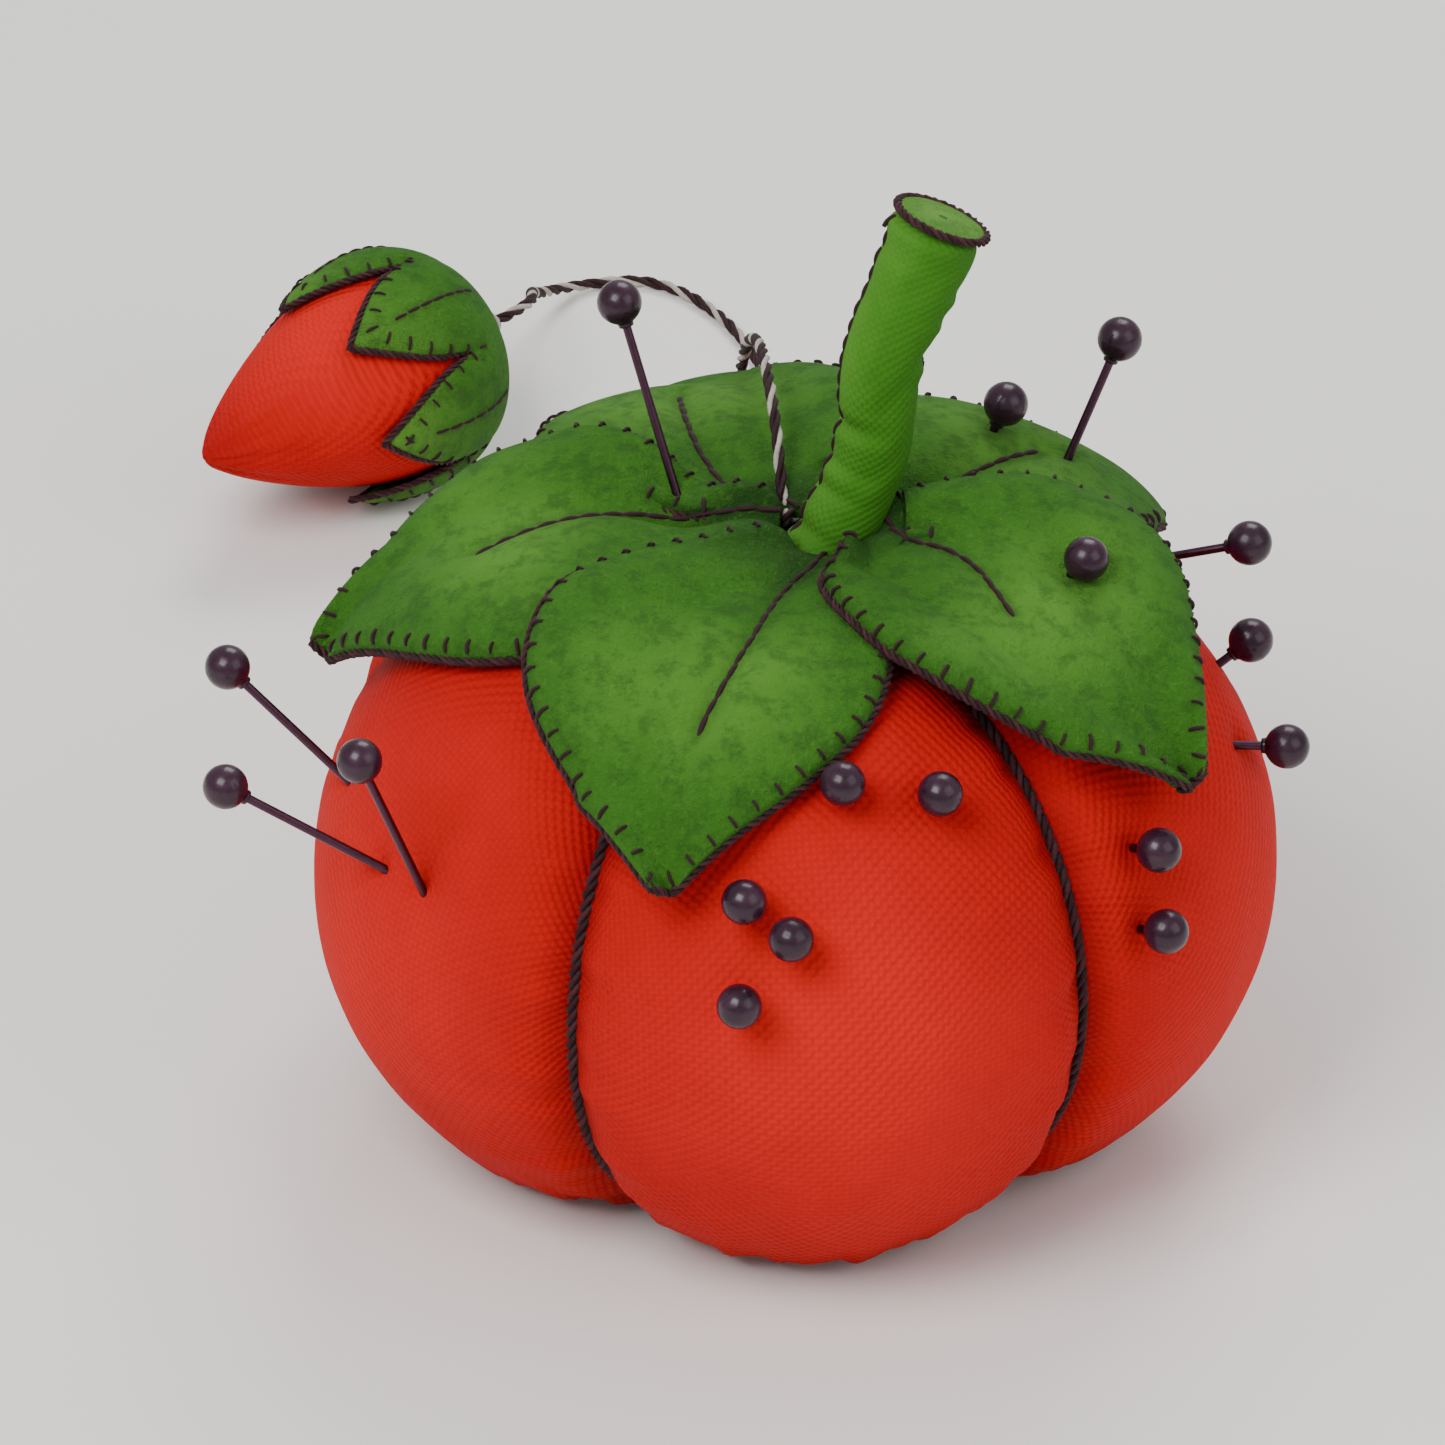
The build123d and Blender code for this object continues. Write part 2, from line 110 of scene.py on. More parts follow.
class CushionColours(bpy.types.PropertyGroup):
    """Colours of the cloth, felt, thread and pins."""

    red: colour_setting("Tomato red", (0.5, 0.0035, 0.002), "Cloth of the cushion")
    # Painted highlight colour of the cloth, where a lobe stands out towards the light.
    painted_highlight_red: colour_setting("Light red", (0.66, 0.011, 0.006), "Cloth where a lobe stands out")
    # Painted shade colour of the cloth, down in its creases and other shaded places.
    painted_shade_red: colour_setting("Deep red", (0.17, 0.001, 0.0025), "Cloth down in the creases")
    green: colour_setting("Leaf green", (0.04, 0.17, 0.008), "Felt of the leaves")
    # Painted highlight colour of the leaves and stem; the stem's felt end takes it as its own colour.
    painted_highlight_green: colour_setting("Light green", (0.11, 0.31, 0.03), "Felt at the leaves' edges")
    # Painted shade colour of the leaves and stem at their roots, veins, seam and bends; the base patch takes
    # it as its own colour.
    deep_green: colour_setting("Deep green", (0.012, 0.06, 0.003), "Felt at the roots and veins")
    outline: colour_setting("Outline thread", (0.022, 0.004, 0.006), "Edging and crease thread")
    pin: colour_setting("Pin", (0.018, 0.004, 0.012), "Heads of the pins")
    steel: colour_setting("Dark steel", (0.05, 0.022, 0.035), "Shafts of the pins")
    floor: colour_setting("Floor", (0.86, 0.845, 0.81), "Floor under the cushion")


def sizes():
    """The sizes as they are set in the scene."""
    return bpy.context.scene.pin_cushion_sizes


def colours():
    """The colours as they are set in the scene."""
    return bpy.context.scene.pin_cushion_colours


# ---- Shader maths ---------------------------------------------------------------------
class Value:
    """A number from a node, which can be written with in ordinary arithmetic."""

    def __init__(self, tree, socket):
        self.tree = tree
        self.socket = socket

    def combined(self, operation, other, reflected=False):
        """This value and another one, through one Math node."""
        node = self.tree.nodes.new("ShaderNodeMath")
        node.operation = operation
        pair = (other, self) if reflected else (self, other)
        for socket, value in zip(node.inputs, pair):
            put(self.tree, socket, value)
        return Value(self.tree, node.outputs[0])

    def __add__(self, other):
        return self.combined("ADD", other)

    def __radd__(self, other):
        return self.combined("ADD", other, True)

    def __sub__(self, other):
        return self.combined("SUBTRACT", other)

    def __rsub__(self, other):
        return self.combined("SUBTRACT", other, True)

    def __mul__(self, other):
        return self.combined("MULTIPLY", other)

    def __rmul__(self, other):
        return self.combined("MULTIPLY", other, True)

    def wave(self):
        """Sine of this value."""
        return self.combined("SINE", 0.0)

    def size(self):
        """This value without its sign."""
        return self.combined("ABSOLUTE", 0.0)


def put(tree, socket, value):
    """Links a value to a socket, or sets the socket to a number or colour."""
    if isinstance(value, Value):
        tree.links.new(value.socket, socket)
    elif isinstance(value, (tuple, list)) and len(value) == 3 and socket.type == "RGBA":
        socket.default_value = (*value, 1.0)
    else:
        socket.default_value = value


class Finish:
    """One material: a principled shader and the nodes that feed it."""

    def __init__(self, name, **constants):
        self.material = bpy.data.materials.new(name)
        self.material.use_nodes = True
        self.tree = self.material.node_tree
        self.tree.nodes.clear()
        end = self.tree.nodes.new("ShaderNodeOutputMaterial")
        self.shader = self.tree.nodes.new("ShaderNodeBsdfPrincipled")
        self.tree.links.new(self.shader.outputs[0], end.inputs["Surface"])
        for socket, value in constants.items():
            self.set(socket.replace("_", " ").title().replace("Ior", "IOR"), value)

    def set(self, socket, value):
        """Sets or links one socket of the shader."""
        put(self.tree, self.shader.inputs[socket], value)

    def node(self, kind, settings=None, sockets=None, output=0):
        """A node of this type, with its settings made first and its sockets after."""
        node = self.tree.nodes.new(kind)
        for name, value in (settings or {}).items():
            setattr(node, name, value)
        for name, value in (sockets or {}).items():
            put(self.tree, node.inputs[name], value)
        return Value(self.tree, node.outputs[output])

    def attribute(self, name):
        """A number that the mesh carries."""
        return self.node("ShaderNodeAttribute", {"attribute_name": name}, output="Fac")

    def noise(self, scale, detail, roughness):
        """Cloudy variation, from 0 to 1, in features of about 1 / scale metres."""
        place = self.node("ShaderNodeTexCoord", output="Object")
        sockets = {"Vector": place, "Scale": scale, "Detail": detail, "Roughness": roughness}
        return self.node("ShaderNodeTexNoise", {}, sockets, "Fac")

    def mixed(self, share, first, second):
        """One colour into another by a share from 0 to 1."""
        node = self.tree.nodes.new("ShaderNodeMix")
        node.data_type = "RGBA"
        put(self.tree, node.inputs[0], share)
        put(self.tree, node.inputs[6], first)
        put(self.tree, node.inputs[7], second)
        return Value(self.tree, node.outputs[2])

    def between(self, value, low, high):
        """A value from low to high spread over 0 to 1, and held there."""
        sockets = {"Value": value, "From Min": low, "From Max": high}
        return self.node("ShaderNodeMapRange", {"clamp": True}, sockets)

    def relief(self, height, distance, strength):
        """Fine relief on the surface, of this height in metres."""
        sockets = {"Height": height, "Distance": distance, "Strength": strength}
        self.set("Normal", self.node("ShaderNodeBump", {}, sockets))


def woven_height(finish, spacing):
    """Over-and-under relief of a plain weave that follows the piece's own layout."""
    layout = finish.node("ShaderNodeUVMap", {"uv_map": "weave"})
    parts = finish.tree.nodes.new("ShaderNodeSeparateXYZ")
    put(finish.tree, parts.inputs[0], layout)
    turns = math.pi / spacing
    warp = (Value(finish.tree, parts.outputs[0]) * turns).wave()
    weft = (Value(finish.tree, parts.outputs[1]) * turns).wave()
    crossing = warp * weft
    return crossing * 0.5 + 0.5, (warp.size() + weft.size()) * 0.5


def cloth_finish(name, base, light, deep, spacing, relief=0.75):
    """Woven cotton of unevenly mottled tone, deeper with painted shade in its creases and lighter with a
    painted highlight where it stands out.
    """
    finish = Finish(name, roughness=0.82, sheen_weight=0.04, sheen_roughness=0.45, specular_ior_level=0.16)
    crossing, strands = woven_height(finish, spacing)
    clouds = finish.noise(42.0, 4.0, 0.6)
    blots = finish.noise(130.0, 3.0, 0.7)
    # A painted highlight where the cloth stands out and painted shade in its creases, over random mottling of
    # the cloth's own tone.
    lift = finish.attribute("painted_highlight") + (clouds - 0.5) * 1.1 + (blots - 0.5) * 0.5
    body = finish.mixed(finish.between(lift, 0.35, 1.05), base, light)
    painted_shade = finish.attribute("crease") + (blots - 0.5) * 0.35
    with_painted_shade = finish.mixed(finish.between(painted_shade, 0.2, 1.0), body, deep)
    threads = finish.mixed(strands * 0.22, with_painted_shade, deep)
    finish.set("Base Color", threads)
    finish.set("Roughness", 0.74 + 0.16 * blots)
    fuzz = finish.noise(2600.0, 2.0, 0.6)
    finish.relief(crossing * 0.8 + fuzz * 0.5 + clouds * 0.6, 0.00022, relief)
    finish.set("Sheen Tint", (*light, 1.0))
    return finish.material


def felt_finish(name, base, light, deep):
    """Felt: matted short fibres, lighter with a painted highlight and deeper with painted shade at the root
    and veins.
    """
    finish = Finish(name, roughness=0.92, sheen_weight=0.12, sheen_roughness=0.5, specular_ior_level=0.25)
    fibres = finish.noise(1900.0, 4.0, 0.8)
    mat = finish.noise(420.0, 4.0, 0.75)
    clouds = finish.noise(90.0, 3.0, 0.65)
    # The first number is a painted highlight, the second is painted shade at roots, veins and rims; the
    # flecks and pits are the felt's own texture.
    edge = finish.attribute("edge") + (clouds - 0.5) * 0.9
    root = finish.attribute("painted_shade") + (mat - 0.5) * 0.5
    body = finish.mixed(finish.between(edge, 0.45, 1.1), base, light)
    shaded = finish.mixed(finish.between(root, 0.25, 1.0), body, deep)
    flecks = finish.mixed(finish.between(fibres, 0.52, 0.72) * 0.4, shaded, light)
    pits = finish.mixed(finish.between(0.52 - mat, 0.0, 0.14) * 0.45, flecks, deep)
    finish.set("Base Color", pits)
    finish.set("Roughness", 0.82 + 0.15 * mat)
    finish.relief(fibres * 0.9 + mat, 0.0011, 0.9)
    finish.set("Sheen Tint", (*light, 1.0))
    return finish.material


def thread_finish(name, base, light, dark_share=0.0):
    """Plied sewing thread with a few stray fibres."""
    finish = Finish(name, roughness=0.7, sheen_weight=0.04, specular_ior_level=0.25)
    fibres = finish.noise(3500.0, 3.0, 0.7)
    ply = finish.between(finish.attribute("ply"), dark_share, 1.0)
    lit = finish.between(ply * 0.6 + fibres * 0.5, 0.3, 0.95)
    finish.set("Base Color", finish.mixed(lit, base, light))
    finish.set("Roughness", 0.55 + 0.3 * fibres)
    finish.relief(fibres, 0.0001, 0.6)
    return finish.material


def pin_head_finish(name, base):
    """Moulded glossy head, with faint swirls and handling marks."""
    finish = Finish(name, coat_weight=0.12, coat_roughness=0.12, specular_ior_level=0.3)
    swirl = finish.noise(420.0, 3.0, 0.5)
    wear = finish.noise(1800.0, 2.0, 0.6)
    lighter = tuple(min(1.0, channel * 2.2 + 0.006) for channel in base)
    finish.set("Base Color", finish.mixed(finish.between(swirl, 0.35, 0.8), base, lighter))
    finish.set("Roughness", 0.26 + 0.18 * finish.between(wear, 0.45, 0.7))
    finish.relief(swirl, 0.00004, 0.25)
    return finish.material


def steel_finish(name, base):
    """Darkened steel wire with fine draw marks along it."""
    finish = Finish(name, metallic=1.0, specular_ior_level=0.5)
    marks = finish.noise(2400.0, 3.0, 0.6)
    lighter = tuple(min(1.0, channel * 2.2) for channel in base)
    finish.set("Base Color", finish.mixed(marks, base, lighter))
    finish.set("Roughness", 0.28 + 0.2 * marks)
    finish.relief(marks, 0.00003, 0.3)
    return finish.material


def floor_finish(base):
    """Plain pale floor with almost no texture."""
    finish = Finish("pale_floor", roughness=0.85)
    clouds = finish.noise(3.0, 2.0, 0.5)
    darker = tuple(channel * 0.985 for channel in base)
    finish.set("Base Color", finish.mixed(clouds, base, darker))
    return finish.material


# Painted highlight colour of the stem's felt end, and painted shade colour of the base patch.
STEM_END_HIGHLIGHT = (0.2, 0.42, 0.08)
SHADED_FELT = (0.01, 0.04, 0.006)
PALE_PLY = (0.5, 0.44, 0.38)
made = {}


def finish_of(name):
    """The material of this name, made the first time that it is asked for."""
    if name not in made:
        tint, size = colours(), sizes()
        reds = tuple(tint.red), tuple(tint.painted_highlight_red), tuple(tint.painted_shade_red)
        greens = tuple(tint.green), tuple(tint.painted_highlight_green), tuple(tint.deep_green)
        green, painted_highlight_green, deep_green = greens
        outline = tuple(tint.outline)
        brown = tuple(channel * 2.4 + 0.004 for channel in outline)
        makers = {
            "cushion_cloth": (cloth_finish, *reds, size.weave),
            "emery_cloth": (cloth_finish, *reds, size.weave * 0.8),
            "stem_cloth": (cloth_finish, *greens, size.weave * 0.7, 0.4),
            "leaf_felt": (felt_finish, *greens),
            "stem_end_felt": (felt_finish, painted_highlight_green, STEM_END_HIGHLIGHT, green),
            "base_felt": (felt_finish, deep_green, green, SHADED_FELT),
            "outline_thread": (thread_finish, outline, brown),
            "tether_thread": (thread_finish, outline, PALE_PLY, 0.75),
            "pin_head": (pin_head_finish, tuple(tint.pin)),
            "pin_steel": (steel_finish, tuple(tint.steel)),
        }
        maker, *values = makers[name]
        made[name] = maker(name, *values)
    return made[name]


# ---- Mesh helpers -----------------------------------------------------------------------
def direction(azimuth, elevation=0.0):
    """Unit vectors from azimuths and elevations in radians, azimuth 0 facing the front."""
    azimuth, elevation = np.broadcast_arrays(azimuth, elevation)
    flat = np.cos(elevation)
    return np.stack((flat * np.sin(azimuth), -flat * np.cos(azimuth), np.sin(elevation)), -1)


def add_mesh(name, points, faces, material):
    """A mesh object at the origin, shaded smooth, with one material."""
    mesh = bpy.data.meshes.new(name)
    mesh.from_pydata([tuple(point) for point in points], [], faces)
    mesh.validate()
    mesh.shade_smooth()
    mesh.materials.append(material)
    piece = bpy.data.objects.new(name, mesh)
    bpy.context.scene.collection.objects.link(piece)
    return piece


def points_of(mesh):
    """The mesh's points as an array."""
    found = np.empty(len(mesh.vertices) * 3, np.float32)
    mesh.vertices.foreach_get("co", found)
    return found.reshape(-1, 3).astype(float)


def normals_of(mesh):
    """The mesh's normals at its points, as an array."""
    found = np.empty(len(mesh.vertices) * 3, np.float32)
    mesh.vertex_normals.foreach_get("vector", found)
    return found.reshape(-1, 3).astype(float)


def move_points(mesh, points):
    """Puts the mesh's points in new places."""
    mesh.vertices.foreach_set("co", np.asarray(points, np.float32).ravel())
    mesh.update()


def set_number(mesh, name, values):
    """Stores a number at each point of the mesh for its material to read."""
    layer = mesh.attributes.get(name) or mesh.attributes.new(name, "FLOAT", "POINT")
    layer.data.foreach_set("value", np.asarray(values, np.float32))


def set_layout(mesh, across, along):
    """Lays the weave over the mesh: one pair of lengths for each face corner."""
    layer = mesh.uv_layers.get("weave") or mesh.uv_layers.new(name="weave")
    layer.data.foreach_set("uv", np.stack((across, along), -1).astype(np.float32).ravel())


def corner_points(mesh):
    """The point that each face corner stands on."""
    found = np.empty(len(mesh.loops), np.int32)
    mesh.loops.foreach_get("vertex_index", found)
    return found


def middle_of(node):
    """The middle of a node's box."""
    low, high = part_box(node)
    return np.array((low + high) / 2)


def settled(piece):
    """Applies the piece's live modifiers to its mesh."""
    graph = bpy.context.evaluated_depsgraph_get()
    mesh = bpy.data.meshes.new_from_object(piece.evaluated_get(graph), depsgraph=graph)
    piece.modifiers.clear()
    old = piece.data
    mesh.name = old.name
    piece.data = mesh
    bpy.data.meshes.remove(old)
    return piece


def smoother(piece):
    """A finer, rounder version of the piece's mesh."""
    modifier = piece.modifiers.new("rounder", "SUBSURF")
    modifier.levels = 1
    modifier.render_levels = 1
    return settled(piece)


STUFFED_CLOTH = {
    "quality": 6,
    "mass": 0.2,
    "tension_stiffness": 12.0,
    "compression_stiffness": 8.0,
    "shear_stiffness": 6.0,
    "bending_stiffness": 0.4,
}


def inflate(piece, held, most):
    """Stuffs a closed cloth piece, held where it is sewn, by no more than a given swell."""
    grown, frames, pressure = 10.0, 20, 4.0
    start = points_of(piece.data)
    move_points(piece.data, start * grown)
    group = piece.vertex_groups.new(name="sewn")
    for index in np.nonzero(held > 0)[0]:
        group.add([int(index)], float(held[index]), "REPLACE")
    cloth = piece.modifiers.new("stuffing", "CLOTH")
    for name, value in STUFFED_CLOTH.items():
        setattr(cloth.settings, name, value)
    cloth.settings.use_pressure = True
    cloth.settings.uniform_pressure_force = pressure
    cloth.settings.vertex_group_mass = "sewn"
    cloth.settings.effector_weights.gravity = 0.0
    cloth.collision_settings.use_collision = False
    cloth.point_cache.frame_start = 1
    cloth.point_cache.frame_end = frames
    scene = bpy.context.scene
    for step in range(1, frames + 1):
        scene.frame_set(step)
    graph = bpy.context.evaluated_depsgraph_get()
    result = piece.evaluated_get(graph).to_mesh()
    moved = points_of(result) / grown - start
    piece.evaluated_get(graph).to_mesh_clear()
    piece.modifiers.remove(cloth)
    piece.vertex_groups.clear()
    scene.frame_set(1)
    reach = np.linalg.norm(moved, axis=1, keepdims=True)
    limit = most * np.tanh(reach / most) / np.maximum(reach, 1e-9)
    move_points(piece.data, start + moved * limit)


def finished(piece, body, *nodes, slot=None):
    """Puts a piece on its body in place of CAD nodes, which it hides; its slot is not used."""
    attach(piece, body)
    if nodes:
        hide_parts(*nodes)
    return piece


def smooth_through(stops, where):
    """A smooth curve through a few (place, value) stops, read at many places."""
    places = np.array([stop[0] for stop in stops], float)
    values = np.array([stop[1] for stop in stops], float)
    slopes = np.gradient(values, places)
    where = np.clip(where, places[0], places[-1])
    left = np.clip(np.searchsorted(places, where, side="right") - 1, 0, len(places) - 2)
    span = places[left + 1] - places[left]
    part = (where - places[left]) / span
    rise = values[left + 1] - values[left]
    ease = part * part * (3 - 2 * part)
    start_bend = part * (1 - part) ** 2 * slopes[left] * span
    end_bend = -part * part * (1 - part) * slopes[left + 1] * span
    return values[left] + rise * ease + start_bend + end_bend


def ripple(along, seed, spacing):
    """Uneven waves along a line, about from -1 to 1, the same each time."""
    total = np.zeros_like(along)
    for index, (stretch, strength) in enumerate(((1.0, 0.5), (0.61, 0.33), (1.73, 0.3), (0.37, 0.16))):
        shift = 1.7 * seed + 2.3 * index * index + seed * index
        total += strength * np.sin(along * 2 * math.pi / (spacing * stretch) + shift)
    return total


# ---- Threads and stitches by Geometry Nodes -------------------------------------------------
class Build:
    """A small builder for a Geometry Nodes tree with named inputs."""

    def __init__(self, name, inputs):
        self.tree = bpy.data.node_groups.new(name, "GeometryNodeTree")
        face = self.tree.interface
        face.new_socket(name="Geometry", in_out="INPUT", socket_type="NodeSocketGeometry")
        for label, kind, default in inputs:
            socket = face.new_socket(name=label, in_out="INPUT", socket_type=f"NodeSocket{kind}")
            if default is not None:
                socket.default_value = default
        face.new_socket(name="Geometry", in_out="OUTPUT", socket_type="NodeSocketGeometry")
        self.start = self.tree.nodes.new("NodeGroupInput")
        self.end = self.tree.nodes.new("NodeGroupOutput")

    def given(self, label):
        """One of the tree's named inputs."""
        return self.start.outputs[label]

    def node(self, kind, settings=None, sockets=None, output=0):
        """A node, with its settings made first, then its sockets set or linked."""
        node = self.tree.nodes.new(kind)
        for name, value in (settings or {}).items():
            setattr(node, name, value)
        for name, value in (sockets or {}).items():
            if isinstance(value, bpy.types.NodeSocket):
                self.tree.links.new(value, node.inputs[name])
            else:
                node.inputs[name].default_value = value
        return node.outputs[output]

    def maths(self, operation, first, second=0.0):
        """Two numbers through one Math node."""
        return self.node("ShaderNodeMath", {"operation": operation}, {0: first, 1: second})

    def vector(self, across=0.0, along=0.0, up=0.0):
        """Three numbers as one vector."""
        return self.node("ShaderNodeCombineXYZ", {}, {"X": across, "Y": along, "Z": up})

    def joined(self, parts):
        """Several geometries as one."""
        node = self.tree.nodes.new("GeometryNodeJoinGeometry")
        for part in parts:
            self.tree.links.new(part, node.inputs[0])
        return node.outputs[0]

    def finish(self, geometry):
        """Ends the tree: real geometry, in the given material."""
        real = self.node("GeometryNodeRealizeInstances", {}, {"Geometry": geometry})
        material = self.given("Material")
        painted = self.node("GeometryNodeSetMaterial", {}, {"Geometry": real, "Material": material})
        smooth = self.node("GeometryNodeSetShadeSmooth", {}, {"Geometry": painted})
        self.tree.links.new(smooth, self.end.inputs[0])
        return self.tree


def plied_cord_tree():
    """Strands twisted round each other along a line."""
    build = Build(
        "plied_cord",
        [
            ("Strand Radius", "Float", 0.3 * MM),
            ("Lay Radius", "Float", 0.25 * MM),
            ("Twist", "Float", 2000.0),
            ("Step", "Float", 0.5 * MM),
            ("Material", "Material", None),
        ],
    )
    line = build.node("GeometryNodeMeshToCurve", {}, {"Mesh": build.given("Geometry")})
    line = build.node(
        "GeometryNodeResampleCurve", {"mode": "LENGTH"}, {"Curve": line, "Length": build.given("Step")}
    )
    travelled = build.node("GeometryNodeSplineParameter", {}, {}, "Length")
    turn = build.maths("MULTIPLY", travelled, build.given("Twist"))
    line = build.node("GeometryNodeSetCurveTilt", {}, {"Curve": line, "Tilt": turn})
    strands = []
    plies = 3
    for ply in range(plies):
        angle = 2 * math.pi * ply / plies
        circle = build.node(
            "GeometryNodeCurvePrimitiveCircle", {}, {"Resolution": 7, "Radius": build.given("Strand Radius")}
        )
        across = build.maths("MULTIPLY", build.given("Lay Radius"), math.cos(angle))
        along = build.maths("MULTIPLY", build.given("Lay Radius"), math.sin(angle))
        shifted = build.node(
            "GeometryNodeTransform", {}, {"Geometry": circle, "Translation": build.vector(across, along)}
        )
        named = build.node(
            "GeometryNodeStoreNamedAttribute",
            {"data_type": "FLOAT", "domain": "POINT"},
            {"Geometry": shifted, "Name": "ply", "Value": ply / (plies - 1)},
        )
        strands.append(named)
    tube = build.node(
        "GeometryNodeCurveToMesh",
        {},
        {"Curve": line, "Profile Curve": build.joined(strands), "Fill Caps": True},
    )
    return build.finish(tube)


def stitch_row_tree():
    """Small thread stitches at even steps along a line, standing on its surface."""
    build = Build(
        "stitch_row",
        [
            ("Pitch", "Float", 1.2 * MM),
            ("Stitch Length", "Float", 1.0 * MM),
            ("Thickness", "Float", 0.4 * MM),
            ("Rise", "Float", 0.3 * MM),
            ("Slant", "Float", 0.0),
            ("Unevenness", "Float", 0.12),
            ("Seed", "Int", 7),
            ("Material", "Material", None),
        ],
    )
    line = build.node("GeometryNodeMeshToCurve", {}, {"Mesh": build.given("Geometry")})
    line = build.node(
        "GeometryNodeResampleCurve", {"mode": "LENGTH"}, {"Curve": line, "Length": build.given("Pitch")}
    )
    half = build.maths("MULTIPLY", build.given("Stitch Length"), 0.5)
    back = build.maths("MULTIPLY", half, -1.0)
    sink = build.maths("MULTIPLY", build.given("Thickness"), -0.35)
    arch = build.node(
        "GeometryNodeCurveQuadraticBezier",
        {},
        {
            "Resolution": 5,
            "Start": build.vector(back, 0.0, sink),
            "Middle": build.vector(0.0, 0.0, build.given("Rise")),
            "End": build.vector(half, 0.0, sink),
        },
    )
    radius = build.maths("MULTIPLY", build.given("Thickness"), 0.5)
    round_thread = build.node("GeometryNodeCurvePrimitiveCircle", {}, {"Resolution": 6, "Radius": radius})
    stitch = build.node(
        "GeometryNodeCurveToMesh", {}, {"Curve": arch, "Profile Curve": round_thread, "Fill Caps": True}
    )
    way = build.node("GeometryNodeInputTangent")
    up = build.node("GeometryNodeInputNamedAttribute", {"data_type": "FLOAT_VECTOR"}, {"Name": "face_up"})
    spin = build.node("FunctionNodeAxesToRotation", {"primary_axis": "Z", "secondary_axis": "X"},
                      {"Primary Axis": up, "Secondary Axis": way})
    least = build.maths("SUBTRACT", 0.0, build.given("Unevenness"))
    wobble = build.node(
        "FunctionNodeRandomValue",
        {"data_type": "FLOAT"},
        {2: least, 3: build.given("Unevenness"), 8: build.given("Seed")},
        1,
    )
    slant = build.maths("ADD", build.given("Slant"), wobble)
    lean = build.node(
        "FunctionNodeAxisAngleToRotation", {}, {"Axis": (0.0, 0.0, 1.0), "Angle": slant}
    )
    spin = build.node("FunctionNodeRotateRotation", {"rotation_space": "LOCAL"},
                      {"Rotation": spin, "Rotate By": lean})
    size = build.maths("ADD", wobble, 1.0)
    row = build.node(
        "GeometryNodeInstanceOnPoints",
        {},
        {"Points": line, "Instance": stitch, "Rotation": spin, "Scale": build.vector(size, size, 1.0)},
    )
    return build.finish(row)


def guide_line(name, lines):
    """Lines of points with the surface's normal at each, as a mesh with only edges."""
    points, ups, edges = [], [], []
    for line, up in lines:
        first = len(points)
        points.extend(tuple(point) for point in line)
        ups.extend(up)
        edges.extend((index, index + 1) for index in range(first, len(points) - 1))
    mesh = bpy.data.meshes.new(name)
    mesh.from_pydata(points, edges, [])
    layer = mesh.attributes.new("face_up", "FLOAT_VECTOR", "POINT")
    layer.data.foreach_set("vector", np.asarray(ups, np.float32).ravel())
    guide = bpy.data.objects.new(name, mesh)
    bpy.context.scene.collection.objects.link(guide)
    return guide


trees = {}


def grow(guide, maker, material, **inputs):
    """Runs a Geometry Nodes tree on a guide line and keeps the plain mesh."""
    if maker not in trees:
        trees[maker] = maker()
    modifier = guide.modifiers.new("made", "NODES")
    modifier.node_group = trees[maker]
    wanted = {label.replace("_", " ").title(): value for label, value in inputs.items()}
    wanted["Material"] = finish_of(material)
    for item in modifier.node_group.interface.items_tree:
        if item.in_out == "INPUT" and item.name in wanted:
            modifier[item.identifier] = wanted[item.name]
    return settled(guide)


def lay(strand, around, turn, step):
    """How a cord is laid: its strands' size, their place, one turn's length and the mesh's step."""
    return {"strand_radius": strand, "lay_radius": around, "twist": 2 * math.pi / turn, "step": step}


def lay_cord(name, lines, how, body, *nodes):
    """A dark plied cord along lines of points."""
    cord = grow(guide_line(name, lines), plied_cord_tree, "outline_thread", **how)
    finished(cord, body, *nodes, slot="crease_thread")


def sew(name, lines, how, body, seed):
    """A row of dark stitches along lines of points."""
    row = grow(guide_line(name, lines), stitch_row_tree, "outline_thread", seed=seed, **how)
    finished(row, body, slot="crease_thread")


CREASE_LAY = lay(0.3 * MM, 0.31 * MM, 3.2 * MM, 0.4 * MM)
LEAF_EDGE_LAY = lay(0.22 * MM, 0.23 * MM, 2.4 * MM, 0.45 * MM)
STEM_END_LAY = lay(0.2 * MM, 0.2 * MM, 2.2 * MM, 0.4 * MM)
CAP_EDGE_LAY = lay(0.17 * MM, 0.17 * MM, 2 * MM, 0.4 * MM)
ACROSS = math.pi / 2
BASE_STITCH = {"pitch": 2.6 * MM, "thickness": 0.34 * MM, "rise": 0.3 * MM, "slant": ACROSS}
LEAF_EDGE_STITCH = {
    "stitch_length": 1.05 * MM, "thickness": 0.3 * MM, "rise": 0.4 * MM, "slant": ACROSS, "unevenness": 0.16
}
LEAF_VEIN_STITCH = {"pitch": 1.75 * MM, "stitch_length": 1.75 * MM, "rise": 0.22 * MM, "unevenness": 0.07}
STEM_SEAM_STITCH = {
    "pitch": 1.5 * MM, "stitch_length": 1.35 * MM, "thickness": 0.4 * MM, "rise": 0.2 * MM, "unevenness": 0.09
}
CAP_EDGE_STITCH = {
    "pitch": 1.9 * MM, "stitch_length": 1.0 * MM, "thickness": 0.24 * MM, "rise": 0.3 * MM,
    "slant": ACROSS, "unevenness": 0.15,
}
CAP_VEIN_STITCH = {
    "pitch": 1.3 * MM, "stitch_length": 1.15 * MM, "thickness": 0.3 * MM, "rise": 0.16 * MM,
    "unevenness": 0.07,
}


# ---- Shape of the cushion -------------------------------------------------------------------
HALF_LOBE = math.pi / LOBES


